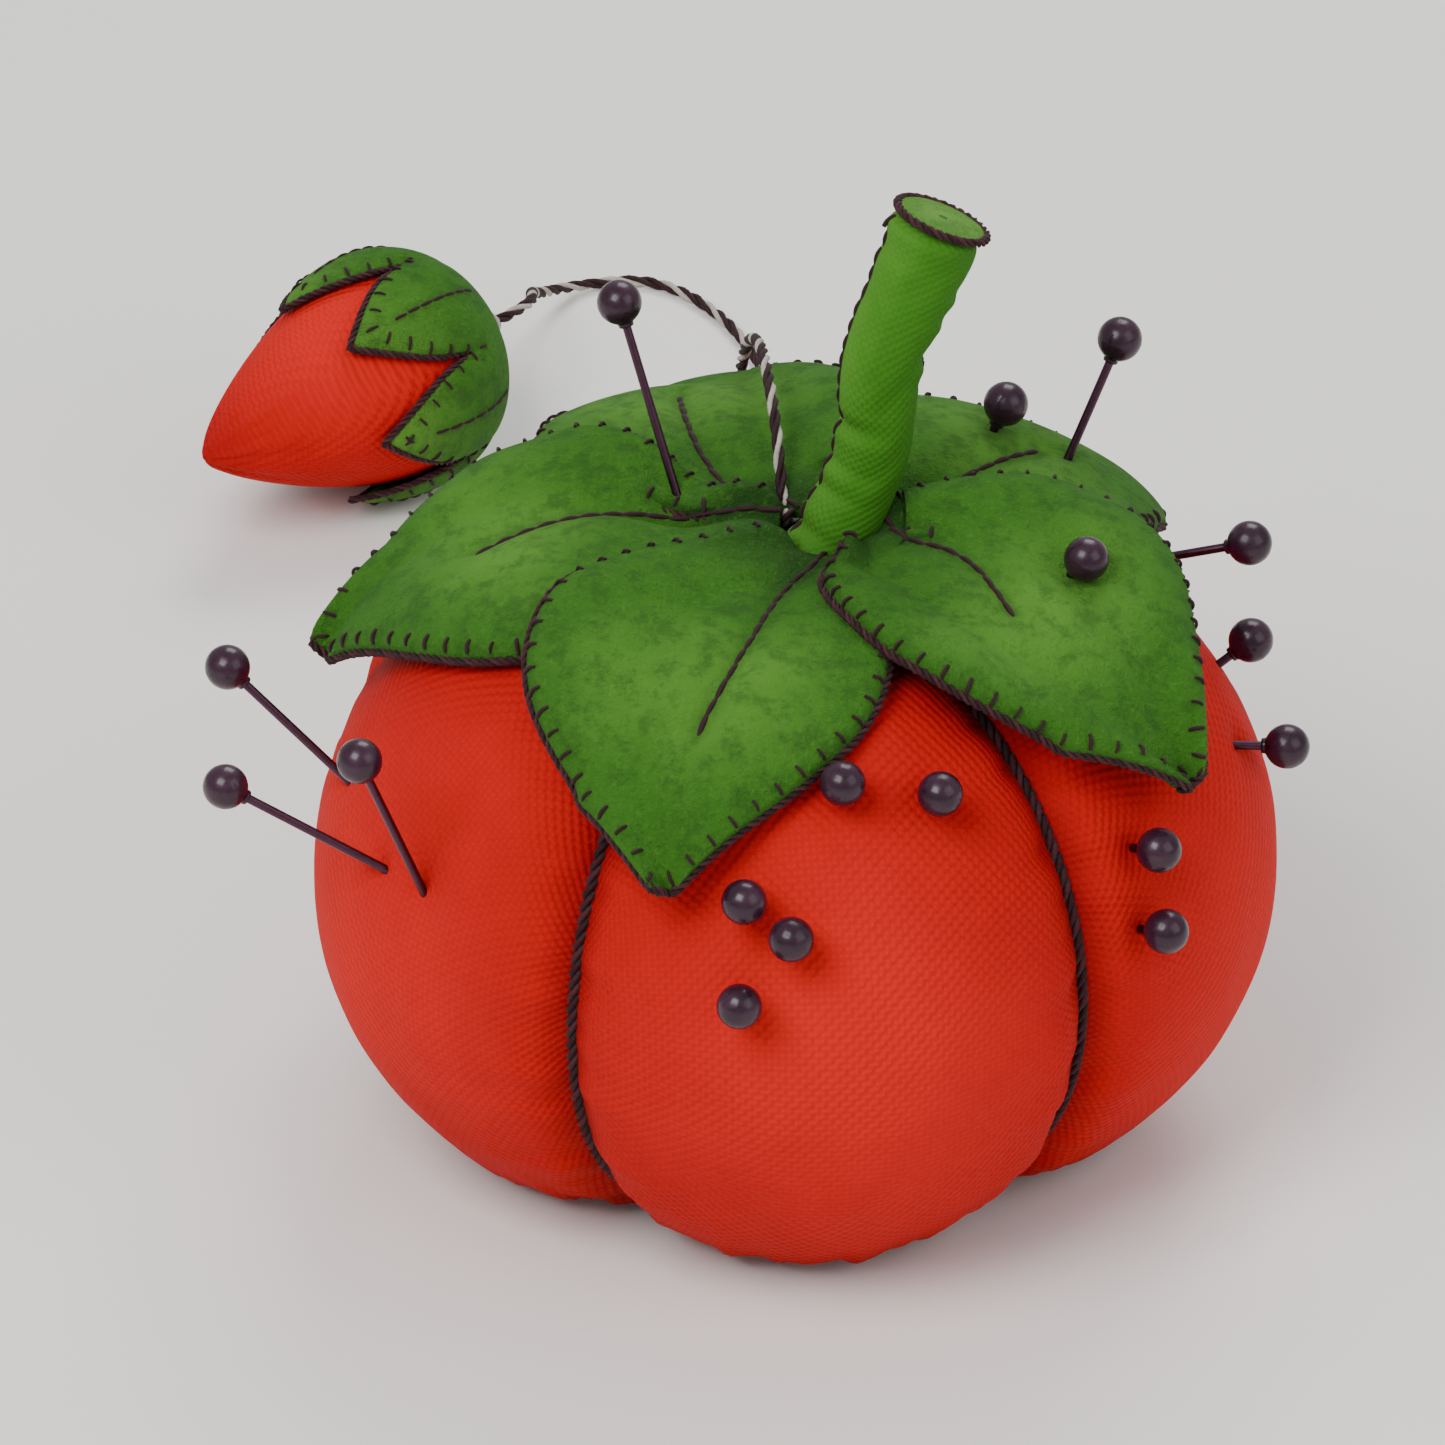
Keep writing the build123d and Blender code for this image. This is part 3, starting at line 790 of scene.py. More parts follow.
def from_nearest(azimuth, first, count):
    """How far each azimuth lies from the nearest of a ring of evenly spaced ones."""
    step = 2 * math.pi / count
    return (azimuth - first + step / 2) % step - step / 2


def cloth_reach(azimuth, elevation):
    """Distance from the lobes' middle to the cloth, before any thread pulls it in."""
    size = sizes()
    off = from_nearest(azimuth, size.first_lobe, LOBES)
    squash = size.lobe_radius / size.lobe_half_height
    flat = np.cos(elevation)
    square = flat**2 + (np.sin(elevation) * squash) ** 2
    along = size.lobe_axis * flat * np.cos(off)
    reach = (along + np.sqrt(along**2 + square * (size.lobe_radius**2 - size.lobe_axis**2))) / square
    sunk = size.lobe_middle + reach * np.sin(elevation) < size.foot
    to_foot = (size.lobe_middle - size.foot) / np.maximum(-np.sin(elevation), 0.05)
    return np.where(sunk, to_foot, reach)


def crease_distance(azimuth, elevation, reach):
    """Level distance from each point to the nearest crease."""
    off = from_nearest(azimuth, sizes().first_lobe, LOBES)
    return reach * np.cos(elevation) * np.sin(HALF_LOBE - np.abs(off))


def pulled_in(azimuth, elevation):
    """Points of the cloth with the creases drawn in by their thread."""
    size = sizes()
    reach = cloth_reach(azimuth, elevation)
    gap = crease_distance(azimuth, elevation, reach)
    height = size.lobe_middle + reach * np.sin(elevation)
    free = np.clip((height - size.foot) / (3 * MM), 0, 1)
    reach = reach - size.crease_depth * np.exp(-((gap / size.crease_width) ** 2)) * free
    return direction(azimuth, elevation) * reach[..., None] + np.array((0, 0, size.lobe_middle)), gap


def seen_from_middle(points):
    """Azimuth, elevation and reach of points, as seen from the lobes' middle."""
    rays = points - np.array((0, 0, sizes().lobe_middle))
    reach = np.linalg.norm(rays, axis=1)
    azimuth = np.arctan2(rays[:, 0], -rays[:, 1])
    return azimuth, np.arcsin(np.clip(rays[:, 2] / reach, -1, 1)), reach


def ring_faces(rows, columns):
    """Faces of a sheet that closes round: rows upward, columns anticlockwise."""
    faces = []
    for row in range(rows - 1):
        for column in range(columns):
            here = row * columns + column
            beside = row * columns + (column + 1) % columns
            faces.append((here, beside, beside + columns, here + columns))
    return faces


def closed_ring(rings, bottom, top):
    """Points and faces of rings of points with a point closing each end."""
    rows, columns = rings.shape[:2]
    points = np.vstack((rings.reshape(-1, 3), bottom, top))
    faces = ring_faces(rows, columns)
    low, high, last = rows * columns, rows * columns + 1, (rows - 1) * columns
    for column in range(columns):
        beside = (column + 1) % columns
        faces.append((low, beside, column))
        faces.append((high, last + column, last + beside))
    return points, faces


PIN_REACH = 36 * MM
HEAD_ROOM, HEAD_DENT = 2.0 * MM, 3.2 * MM


def pin_lines():
    """Each pin's body, the middle of its head and the way that the head points."""
    lines = {}
    for joint in frame["joints"]:
        if joint["type"] != "slide":
            continue
        lines[joint["child"]] = (middle_of(joint["child"] + "_head"), np.array(joint["axis"], float))
    return lines


def pricked(points, normals, depth, width):
    """Points drawn in a little where a pin goes through them."""
    pull = np.zeros(len(points))
    for head, way in pin_lines().values():
        back = (points - head) @ -way
        apart = np.linalg.norm(points - head + back[:, None] * way, axis=1)
        near = (back > 0) & (back < PIN_REACH)
        pull = np.maximum(pull, np.where(near, depth * np.exp(-((apart / width) ** 2)), 0))
    return points - normals * pull[:, None]


def clear_of_heads(points):
    """Points pressed down where a pin's head comes when the pin is pushed home."""
    room, width = HEAD_ROOM, HEAD_DENT
    slides = [joint for joint in frame["joints"] if joint["type"] == "slide"]
    travel = {joint["child"]: joint["range_m"][0] for joint in slides}
    for body, (head, way) in pin_lines().items():
        offset = points - (head + way * travel[body])
        height = offset @ way
        apart = np.linalg.norm(offset - height[:, None] * way, axis=1)
        under = (apart < room) & (np.abs(height) < 2 * room)
        if not under.any():
            continue
        falloff = np.exp(-((apart / width) ** 2)) * (np.abs(height) < 3 * room)
        excess = (height[under] + np.sqrt(room**2 - apart[under] ** 2)) / falloff[under]
        points = points - way * (max(excess.max(), 0) * falloff)[:, None]
    return points


def lay_weave_on_lobes(mesh):
    """Lays the weave straight over each lobe, so that it meets its neighbour at the crease."""
    size = sizes()
    points = points_of(mesh)
    corners = corner_points(mesh)
    totals = np.array([len(face.vertices) for face in mesh.polygons])
    firsts = np.concatenate(([0], np.cumsum(totals)[:-1]))
    centres = np.add.reduceat(points[corners], firsts) / totals[:, None]
    azimuth = np.repeat(np.arctan2(centres[:, 0], -centres[:, 1]), totals)
    lobe = azimuth - from_nearest(azimuth, size.first_lobe, LOBES)
    outward = direction(lobe)
    sideways = np.stack((-outward[:, 1], outward[:, 0], np.zeros(len(lobe))), -1)
    place = points[corners]
    out = np.einsum("ij,ij->i", place, outward) - size.lobe_axis
    side = np.einsum("ij,ij->i", place, sideways)
    up = (place[:, 2] - size.lobe_middle) * size.lobe_radius / size.lobe_half_height
    whole = np.maximum(np.sqrt(out**2 + side**2 + up**2), 1e-6)
    across = np.arcsin(np.clip(side / whole, -1, 1)) * size.lobe_radius
    set_layout(mesh, across, np.arctan2(up, out) * size.lobe_radius)


def lobe_columns(per_lobe):
    """Azimuths round the cushion, closer together beside each crease."""
    share = np.linspace(-1, 1, per_lobe, endpoint=False)
    share = 1.25 * share - 0.25 * share**3
    return np.concatenate([sizes().first_lobe + (2 * k + share) * HALF_LOBE for k in range(LOBES)])


CUSHION_SWELL = 2.2 * MM
GATHER_DEPTH = 0.35 * MM
LUMP_HEIGHT = 0.16 * MM
CLOTH_DENT, CLOTH_DENT_WIDTH = 0.55 * MM, 1.3 * MM


def make_cushion():
    """The stuffed cloth ball: sewn creases, puckers beside them, dents round the pins."""
    size = sizes()
    columns = lobe_columns(36)
    edge = math.radians(2.2)
    rows = np.linspace(-math.pi / 2 + edge, math.pi / 2 - edge, 76)
    azimuth, elevation = np.meshgrid(columns, rows)
    rings, gap = pulled_in(azimuth, elevation)
    slack_depth, slack_reach, foot_reach = 1.1 * MM, 7 * MM, 2.5 * MM
    leaves_from, leaves_over = math.radians(28), math.radians(16)
    slack = slack_depth * (1 - np.exp(-((gap / slack_reach) ** 2)))
    covered = np.clip((elevation - leaves_from) / leaves_over, 0, 1)
    height = rings[..., 2] - size.foot
    standing = np.exp(-np.maximum(height, 0) / foot_reach)
    slack = slack * (1 - covered) * (1 - standing)
    rings = rings - direction(azimuth, elevation) * slack[..., None]
    straight_up = cloth_reach(np.array(0.0), np.array(math.pi / 2))
    dimple = size.lobe_middle + straight_up - size.crease_depth
    points, faces = closed_ring(rings, (0, 0, size.foot), (0, 0, dimple))
    piece = add_mesh("cushion_cover", points, faces, finish_of("cushion_cloth"))
    held = np.maximum.reduce((np.exp(-((gap / (1.6 * MM)) ** 2)), covered, standing))
    held = np.concatenate((np.where(held < 0.05, 0, held).ravel(), (1, 1)))
    inflate(piece, np.minimum(held, 1), CUSHION_SWELL)
    smoother(piece)
    gather_cloth(piece.data)
    lay_weave_on_lobes(piece.data)
    gores = [f"gore_{number}" for number in range(1, LOBES + 1)]
    finished(piece, "cushion", "filling", *gores, slot="cushion_cloth")


def gather_cloth(mesh):
    """Puckers beside the creases, gathers at the foot, dents at the pins, and the painted highlight and
    painted shade that the cloth's colour follows.
    """
    size = sizes()
    points = points_of(mesh)
    normals = normals_of(mesh)
    azimuth, elevation, reach = seen_from_middle(points)
    gap = crease_distance(azimuth, elevation, reach)
    off = from_nearest(azimuth, size.first_lobe, LOBES)
    lobe = np.round((azimuth - off - size.first_lobe) / (2 * HALF_LOBE)) % LOBES
    seed = 3.1 * lobe + 1.7 * (off > 0)
    along = elevation * size.lobe_radius
    beside = np.exp(-gap / (4.2 * MM)) * (1 - np.exp(-((gap / (0.9 * MM)) ** 2)))
    folds = size.pucker * beside * ripple(along, seed, 4.4 * MM)
    gathers = GATHER_DEPTH * np.exp(-np.maximum(points[:, 2] - size.foot, 0) / (3.5 * MM))
    gathers = gathers * ripple(azimuth * 26 * MM, 0.6, 5.2 * MM) * (points[:, 2] > size.foot + 0.2 * MM)
    lumps = LUMP_HEIGHT * ripple(along, 5.0, 17 * MM) * ripple(azimuth * 38 * MM, 2.0, 14 * MM)
    points = points + normals * (folds + gathers + lumps)[:, None]
    points = pricked(points, normals, CLOTH_DENT, CLOTH_DENT_WIDTH)
    points[:, 2] = np.maximum(points[:, 2], size.foot - 0.25 * MM)
    move_points(mesh, points)
    # Painted highlight on the middle of each lobe, and painted shade in the creases and at the foot.
    bright = (1 - (off / HALF_LOBE) ** 2) * np.exp(-(((elevation - math.radians(2)) / 0.62) ** 2))
    set_number(mesh, "painted_highlight", bright)
    shade = 0.95 * np.exp(-gap / (1.7 * MM)) + 0.6 * np.exp(-(points[:, 2] - size.foot) / (3 * MM))
    set_number(mesh, "crease", shade)


def make_crease_thread():
    """Plied thread drawn up each crease and over into the middle."""
    size = sizes()
    elevation = np.radians(np.linspace(-47, 79, 120))
    lines = []
    for number in range(LOBES):
        azimuth = np.full_like(elevation, size.first_lobe + (2 * number + 1) * HALF_LOBE)
        rays = direction(azimuth, elevation)
        points, _ = pulled_in(azimuth, elevation)
        lines.append((points + rays * 0.1 * MM, rays))
    lay_cord("crease_thread", lines, CREASE_LAY, "cushion", "crease_floss")


def make_base():
    """Felt patch that the cushion stands on, oversewn round its rim."""
    low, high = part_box("base_patch")
    radius, thick = (high.x - low.x) / 2, high.z - low.z
    soft = 0.4 * MM
    rim = [(radius * 0.4, low.z), (radius * 0.8, low.z), (radius - soft, low.z), (radius, low.z + soft)]
    rim += [(radius, high.z - soft), (radius - soft, high.z), (radius * 0.8, high.z)]
    turns = np.linspace(0, 2 * math.pi, 96, endpoint=False)
    rings = np.array([[(r * math.sin(a), -r * math.cos(a), z) for a in turns] for r, z in rim])
    points, faces = closed_ring(rings, (0, 0, low.z), (0, 0, high.z))
    piece = smoother(add_mesh("base_felt_patch", points, faces, finish_of("base_felt")))
    points = points_of(piece.data)
    away = np.linalg.norm(points[:, :2], axis=1)
    # Painted highlight towards the rim of the patch; no painted shade here.
    set_number(piece.data, "edge", np.clip(away / radius - 0.5, 0, 1))
    set_number(piece.data, "painted_shade", np.zeros(len(points)))
    finished(piece, "cushion", "base_patch", slot="base_felt")
    turns = np.linspace(0, 2 * math.pi, 200)
    rays = direction(turns)
    line = rays * (radius - 0.1 * MM) + np.array((0, 0, low.z + thick * 0.55))
    sew("base_stitches", [(line, rays)], {**BASE_STITCH, "stitch_length": thick}, "cushion", 3)


# ---- Leaves ---------------------------------------------------------------------------------
LEAF_OUTLINE = (
    (0.07, 0.13), (0.2, 0.56), (0.36, 0.9), (0.52, 1.0), (0.68, 0.9), (0.81, 0.64), (0.91, 0.33), (1.0, 0.02)
)
LEAF_WAYS = (
    # share of the half width on its left and right, how far each side lies on its
    # neighbour, the vein's bow and the vein's end
    (1.12, 0.93, 1.0, 0.0, 1.6 * MM, 26 * MM),
    (0.86, 1.3, 1.0, 1.15, 4.2 * MM, 20.5 * MM),
    (0.95, 0.95, 0.0, 0.0, -2.2 * MM, 24 * MM),
    (1.02, 0.98, 1.0, 0.0, 2.6 * MM, 24 * MM),
    (1.04, 1.06, 1.0, 0.0, -3.4 * MM, 24 * MM),
)


OVERLAP_LIFT = 1.7 * MM
TIP_CURL = 0.8 * MM
EDGE_WAVE = 0.45 * MM
FELT_THICKNESS = 1.15 * MM
VEIN_WIDTH, VEIN_DEPTH = 1.5 * MM, 0.95 * MM
FELT_DENT, FELT_DENT_WIDTH = 0.35 * MM, 1.1 * MM


def stem_middle(height):
    """The stem's middle line at a height: its shift from the cushion's axis."""
    lean = smooth_through(STEM_LINE, height)
    return direction(STEM_AZIMUTH) * np.asarray(lean)[..., None]


def rest_height(points):
    """Height at which felt lies over the lobes, spanning their creases in part."""
    size = sizes()
    away = np.linalg.norm(points, axis=-1)
    crest = np.clip(1 - ((away - size.lobe_axis) / size.lobe_radius) ** 2, 0.02, 1)
    crest = size.lobe_middle + size.lobe_half_height * np.sqrt(crest)
    lobes = np.zeros_like(away)
    for number in range(LOBES):
        axis = direction(size.first_lobe + 2 * number * HALF_LOBE)[:2] * size.lobe_axis
        apart = np.linalg.norm(points - axis, axis=-1) / size.lobe_radius
        lobe = size.lobe_middle + size.lobe_half_height * np.sqrt(np.clip(1 - apart**2, 0, 1))
        lobes = np.maximum(lobes, lobe)
    return crest - 0.3 * np.clip(crest - lobes, 0, 9 * MM)


def leaf_point(number, along, share):
    """Points of a leaf's underside: along it from the middle, and across it by shares."""
    size = sizes()
    left, right = LEAF_WAYS[number][:2]
    half = smooth_through(LEAF_OUTLINE, along / size.leaf_reach) * size.leaf_half_width
    across = share * half * np.where(share < 0, left, right)
    swing = 0.05 * math.sin(2.4 * number + 0.4) * (along / size.leaf_reach) ** 2
    azimuth = size.first_leaf + 2 * math.pi * number / LEAVES + swing
    forward, sideways = direction(azimuth)[..., :2], direction(azimuth + math.pi / 2)[..., :2]
    flat = along[..., None] * forward + across[..., None] * sideways
    height = rest_height(flat)
    reach = np.linalg.norm(flat, axis=-1)
    collar = np.exp(-(((reach - 2.6 * MM) / (4.2 * MM)) ** 2))
    height = height + 2.9 * MM * collar
    flat = flat + (stem_middle(height)[..., :2] + flat * 0.28) * collar[..., None]
    return np.concatenate((flat, height[..., None]), -1)


def sheet_normals(grid):
    """Normals of a grid of points, from its rows and columns."""
    down = np.gradient(grid, axis=0)
    across = np.gradient(grid, axis=1)
    normals = np.cross(down, across)
    return normals / np.maximum(np.linalg.norm(normals, axis=-1, keepdims=True), 1e-12)


def two_layers(under, over, rim):
    """A closed piece from an underside and a top that share their outermost points."""
    rows, columns = over.shape[:2]
    edge = np.ones((rows, columns), bool)
    edge[1:-1, 1:-1] = False
    top = np.where(edge[..., None], rim, over)
    place = np.arange(rows * columns).reshape(rows, columns)
    low = place.copy()
    low[~edge] = rows * columns + np.arange((~edge).sum())
    points = np.vstack((top.reshape(-1, 3), under[~edge]))
    faces = []
    for row in range(rows - 1):
        for column in range(columns - 1):
            a, b = place[row, column], place[row + 1, column]
            c, d = place[row + 1, column + 1], place[row, column + 1]
            faces.append((a, b, c, d))
            a, b = low[row, column], low[row + 1, column]
            c, d = low[row + 1, column + 1], low[row, column + 1]
            faces.append((d, c, b, a))
    return points, faces, edge


def on_surface(piece, line, lift):
    """A line of points laid on a piece's surface and lifted off it, with the normals there."""
    points, ups = [], []
    for point in line:
        _, place, normal, _ = piece.closest_point_on_mesh(Vector(point))
        points.append(np.array(place) + np.array(normal) * lift)
        ups.append(np.array(normal))
    return np.array(points), np.array(ups)


def normals_beside(piece, line):
    """The piece's normals where it is nearest to each point of a line."""
    return np.array([piece.closest_point_on_mesh(Vector(point))[2] for point in line])


def evened(line, count):
    """The same line with its points evenly spaced."""
    steps = np.linalg.norm(np.diff(line, axis=0), axis=1)
    travelled = np.concatenate(([0], np.cumsum(steps)))
    wanted = np.linspace(0, travelled[-1], count)
    return np.stack([np.interp(wanted, travelled, line[:, axis]) for axis in range(3)], -1)


def make_leaf(number):
    """One stuffed felt leaf, quilted along its vein and edged with thread."""
    size = sizes()
    left, right, over_left, over_right, bow, vein_end = LEAF_WAYS[number]
    rows, columns = 46, 31
    along = np.linspace(0.075, 1.0, rows) * size.leaf_reach
    share = np.linspace(-1, 1, columns)
    share = 1.2 * share - 0.2 * share**3
    along, share = np.meshgrid(along, share, indexing="ij")
    base = leaf_point(number, along, share)
    normals = sheet_normals(base)
    normals[0] = normals[1]
    raised = np.clip((np.abs(share) - 0.3) / 0.5, 0, 1)
    raised = OVERLAP_LIFT * raised**2 * (3 - 2 * raised) * np.where(share < 0, over_left, over_right)
    curl = TIP_CURL * np.clip((along / size.leaf_reach - 0.82) / 0.18, 0, 1) ** 2
    wave = EDGE_WAVE * np.abs(share) ** 3 * ripple(along + 9 * MM * number, 1.0 + number, 17 * MM)
    under = 0.5 * MM + raised + curl + wave
    half = smooth_through(LEAF_OUTLINE, along / size.leaf_reach) * size.leaf_half_width
    across = share * half * np.where(share < 0, left, right)
    vein = bow * np.sin(np.clip(along / vein_end, 0, 1) * math.pi)
    from_vein = np.abs(across - vein) + np.maximum(along - vein_end, 0)
    quilted = np.exp(-((from_vein / VEIN_WIDTH) ** 2))
    plump = np.clip(1 - share**2, 0, 1) ** 0.5 * np.clip(half / (5 * MM), 0, 1)
    over = under + FELT_THICKNESS + 0.55 * size.leaf_plump * plump - VEIN_DEPTH * quilted * plump
    rim = under + 0.5 * MM
    layers = [base + normals * lift[..., None] for lift in (under, over, rim)]
    points, faces, edge = two_layers(*layers)
    piece = add_mesh(f"felt_leaf_{number + 1}", points, faces, finish_of("leaf_felt"))
    held = np.where(edge, 1.0, np.where(quilted > 0.6, 1.0, 0.0))
    held = np.concatenate((held.ravel(), np.ones((~edge).sum())))
    inflate(piece, held, size.leaf_plump)
    # Painted highlight over the middle of the leaf, and painted shade at its root, along its vein, at its rim
    # and underneath.
    at = along / size.leaf_reach
    lit = np.exp(-(((at - 0.62) / 0.27) ** 2)) * (1 - 0.6 * share**2)
    painted_shade = 0.9 * np.exp(-((at - 0.07) / 0.16) ** 2) + 0.55 * np.exp(-((from_vein / (1.1 * MM)) ** 2))
    painted_shade = painted_shade + 0.5 * np.clip((np.abs(share) - 0.86) / 0.14, 0, 1)
    for name, values, beneath in (("edge", lit, 0.2), ("painted_shade", painted_shade, 0.7)):
        set_number(piece.data, name, np.concatenate((values.ravel(), np.full((~edge).sum(), beneath))))
    smoother(piece)
    normals = normals_of(piece.data)
    pressed = pricked(points_of(piece.data), normals, FELT_DENT, FELT_DENT_WIDTH)
    move_points(piece.data, clear_of_heads(pressed))
    finished(piece, "cushion", f"leaf_{number + 1}", slot="leaf_felt")

    place = np.arange(rows * columns).reshape(rows, columns)
    outline = np.concatenate((place[1:, 0], place[-1, 1:], place[-2:0:-1, -1]))
    outline = points_of(piece.data)[outline]
    line = evened(outline, 190)
    lay_cord(f"leaf_edge_cord_{number + 1}", [(line, normals_beside(piece, line))], LEAF_EDGE_LAY, "cushion")
    toward = evened(outline, 150)
    inward = base[rows // 2, columns // 2] - toward
    inward = inward / np.linalg.norm(inward, axis=1, keepdims=True)
    above = np.array((0, 0, 0.8 * MM))
    lines = [on_surface(piece, toward + inward * 0.55 * MM + above, 0.05 * MM)]
    how = {**LEAF_EDGE_STITCH, "pitch": size.stitch_pitch * 1.9}
    sew(f"leaf_edge_stitches_{number + 1}", lines, how, "cushion", 11 + number)
    sew_vein(piece, number)


def sew_vein(piece, number):
    """The row of stitches along the vein of a leaf."""
    size = sizes()
    left, right, _, _, bow, vein_end = LEAF_WAYS[number]
    steps = np.linspace(3.4 * MM, vein_end, 60)
    bowed = bow * np.sin(steps / vein_end * math.pi)
    width = smooth_through(LEAF_OUTLINE, steps / size.leaf_reach) * size.leaf_half_width
    shares = bowed / (width * (right if bow > 0 else left))
    above = np.array((0, 0, 2.2 * MM))
    lines = [on_surface(piece, leaf_point(number, steps, shares) + above, 0.02 * MM)]
    how = {**LEAF_VEIN_STITCH, "thickness": size.stitch_thickness}
    sew(f"leaf_vein_{number + 1}", lines, how, "cushion", 21 + number)


# ---- Stem -----------------------------------------------------------------------------------
STEM_AZIMUTH = math.radians(116.0)
STEM_LEAN = ((0.0, 46.2), (3.4, 50.6), (7.0, 57.5), (8.3, 66.5), (13.2, 77.4))
STEM_LINE = tuple((height * MM, lean * MM) for lean, height in STEM_LEAN)
STEM_LENGTH = 33 * MM
STEM_FOOT_RADIUS, STEM_FLARE = 3.0 * MM, 0.8 * MM
STEM_LAYOUT_RADIUS = 3.2 * MM
STEM_SEAM = math.radians(246)
STEM_END_PROFILE = (
    (0.5, -0.02), (0.93, 0.0), (1.0, 0.25), (1.0, 0.45), (0.93, 0.66), (0.7, 0.72), (0.35, 0.7)
)


def tube_grid(line, radii, columns, first_side):
    """Rings of points round a line, and the line's own direction at each ring."""
    ways = np.gradient(line, axis=0)
    ways = ways / np.linalg.norm(ways, axis=1, keepdims=True)
    side = np.cross(ways, first_side)
    side = side / np.linalg.norm(side, axis=1, keepdims=True)
    other = np.cross(ways, side)
    turns = np.linspace(0, 2 * math.pi, columns, endpoint=False)
    radial = side[:, None, :] * np.cos(turns)[None, :, None]
    radial = radial + other[:, None, :] * np.sin(turns)[None, :, None]
    return line[:, None, :] + radial * radii[..., None], radial, turns, ways


def lay_weave_on_stem(mesh, turns, travelled):
    """Lays the weave round the stem and along it, unbroken where the last column meets the first."""
    lengths = np.append(np.repeat(travelled[:, None], len(turns), 1), (0, STEM_LENGTH))
    rounds = np.append(np.repeat((turns * STEM_LAYOUT_RADIUS)[None, :], len(travelled), 0), (0, 0))
    corners = corner_points(mesh)
    across = rounds[corners]
    once_round = 2 * math.pi * STEM_LAYOUT_RADIUS
    widest = 8 * MM
    first = 0
    for face in mesh.polygons:
        part = slice(first, first + len(face.vertices))
        if np.ptp(across[part]) > widest:
            across[part] = np.where(across[part] < widest, across[part] + once_round, across[part])
        first += len(face.vertices)
    set_layout(mesh, across, lengths[corners])


def make_stem():
    """The stuffed cloth stem: a seam down it, creases inside its bends, a felt end."""
    heights = np.linspace(STEM_LINE[0][0], STEM_LINE[-1][0], 60)
    line = stem_middle(heights) + np.stack((0 * heights, 0 * heights, heights), -1)
    line = evened(line, 64)
    share = np.linspace(0, 1, len(line))
    columns = 48
    radius = STEM_FOOT_RADIUS + STEM_FLARE * share**3
    plane_side = direction(STEM_AZIMUTH)
    _, radial, turns, ways = tube_grid(line, np.repeat(radius[:, None], columns, 1), columns, plane_side)
    bend = np.gradient(ways, axis=0)
    bend = bend / np.maximum(np.linalg.norm(bend, axis=1, keepdims=True), 1e-9)
    inside = np.clip(np.einsum("rcj,rj->rc", radial, bend), 0, 1)
    travelled = share * STEM_LENGTH
    fold_depth, fold_pitch, loose_depth = 0.34 * MM, 3.4 * MM, 0.14 * MM
    seam_depth, seam_width = 0.5 * MM, 0.7 * MM
    folds = fold_depth * inside * ripple(travelled, 4.0, fold_pitch)[:, None]
    loose = loose_depth * ripple(travelled[:, None] + 4 * MM * np.sin(turns)[None, :], 2.0, 9 * MM)
    off_seam = np.abs(from_nearest(turns, STEM_SEAM, 1))[None, :] * radius[:, None]
    groove = seam_depth * np.exp(-((off_seam / seam_width) ** 2))
    gathered = 1 - 0.12 * np.exp(-((share - 1.0) / 0.03) ** 2)[:, None]
    radii = radius[:, None] * gathered + folds + loose - groove
    rings, radial, turns, ways = tube_grid(line, radii, columns, plane_side)
    points, faces = closed_ring(rings[:-1], rings[0].mean(0), rings[-1].mean(0) + ways[-1] * 0.3 * MM)
    piece = add_mesh("stem_cloth_tube", points, faces, finish_of("stem_cloth"))
    # Painted shade along the seam, inside the bends and at the foot, and a painted highlight down one side.
    shade = np.exp(-((off_seam / (0.9 * MM)) ** 2)) * 0.8 + inside * 0.25
    shade = np.clip(shade + 0.8 * np.exp(-share / 0.12)[:, None], 0, 1)
    bright = np.clip(0.4 + 0.4 * np.sin(turns - STEM_SEAM - 1.2), 0, 1)
    bright = np.repeat(bright[None, :], len(line), 0)
    for name, values in (("crease", shade), ("painted_highlight", bright)):
        set_number(piece.data, name, np.concatenate((values[:-1].ravel(), (0.5, 0.2))))
    lay_weave_on_stem(piece.data, turns, travelled[:-1])
    smoother(piece)
    finished(piece, "cushion", "stem_cover", "stem_filling", slot="stem_cloth")

    column = int(round(STEM_SEAM / (2 * math.pi) * columns)) % columns
    for name, seam, seed in (("stem_seam", column, 41), ("stem_back_seam", column + columns // 2, 43)):
        lines = [on_surface(piece, rings[4:-3, seam % columns], 0.03 * MM)]
        sew(name, lines, STEM_SEAM_STITCH, "cushion", seed)
    make_stem_end(line[-1] - ways[-1] * 0.55 * MM, ways[-1], radial[-1])


def make_stem_end(middle, way, side):
    """The felt disc that closes the stem, with a cord round its rim."""
    wide = 3.75 * MM
    rings = [
        [middle + way * height * MM + ray * share * wide for ray in side]
        for share, height in STEM_END_PROFILE
    ]
    points, faces = closed_ring(np.array(rings), middle, middle + way * 0.68 * MM)
    disc = add_mesh("stem_end", points, faces, finish_of("stem_end_felt"))
    shares = np.repeat([share for share, _ in STEM_END_PROFILE], len(side))
    # Painted highlight over the middle of the disc, and painted shade at its rim.
    set_number(disc.data, "edge", np.append(0.9 - 0.5 * shares, (0.9, 0.9)))
    set_number(disc.data, "painted_shade", np.append(0.35 * shares**6, (0, 0)))
    smoother(disc)
    finished(disc, "cushion", "stem_end_disc", slot="stem_end_felt")
    rays = np.vstack((side, side[:1]))
    rim = np.array([middle + way * 0.42 * MM + ray * wide for ray in rays])
    lay_cord("stem_end_cord", [(rim, rays)], STEM_END_LAY, "cushion")


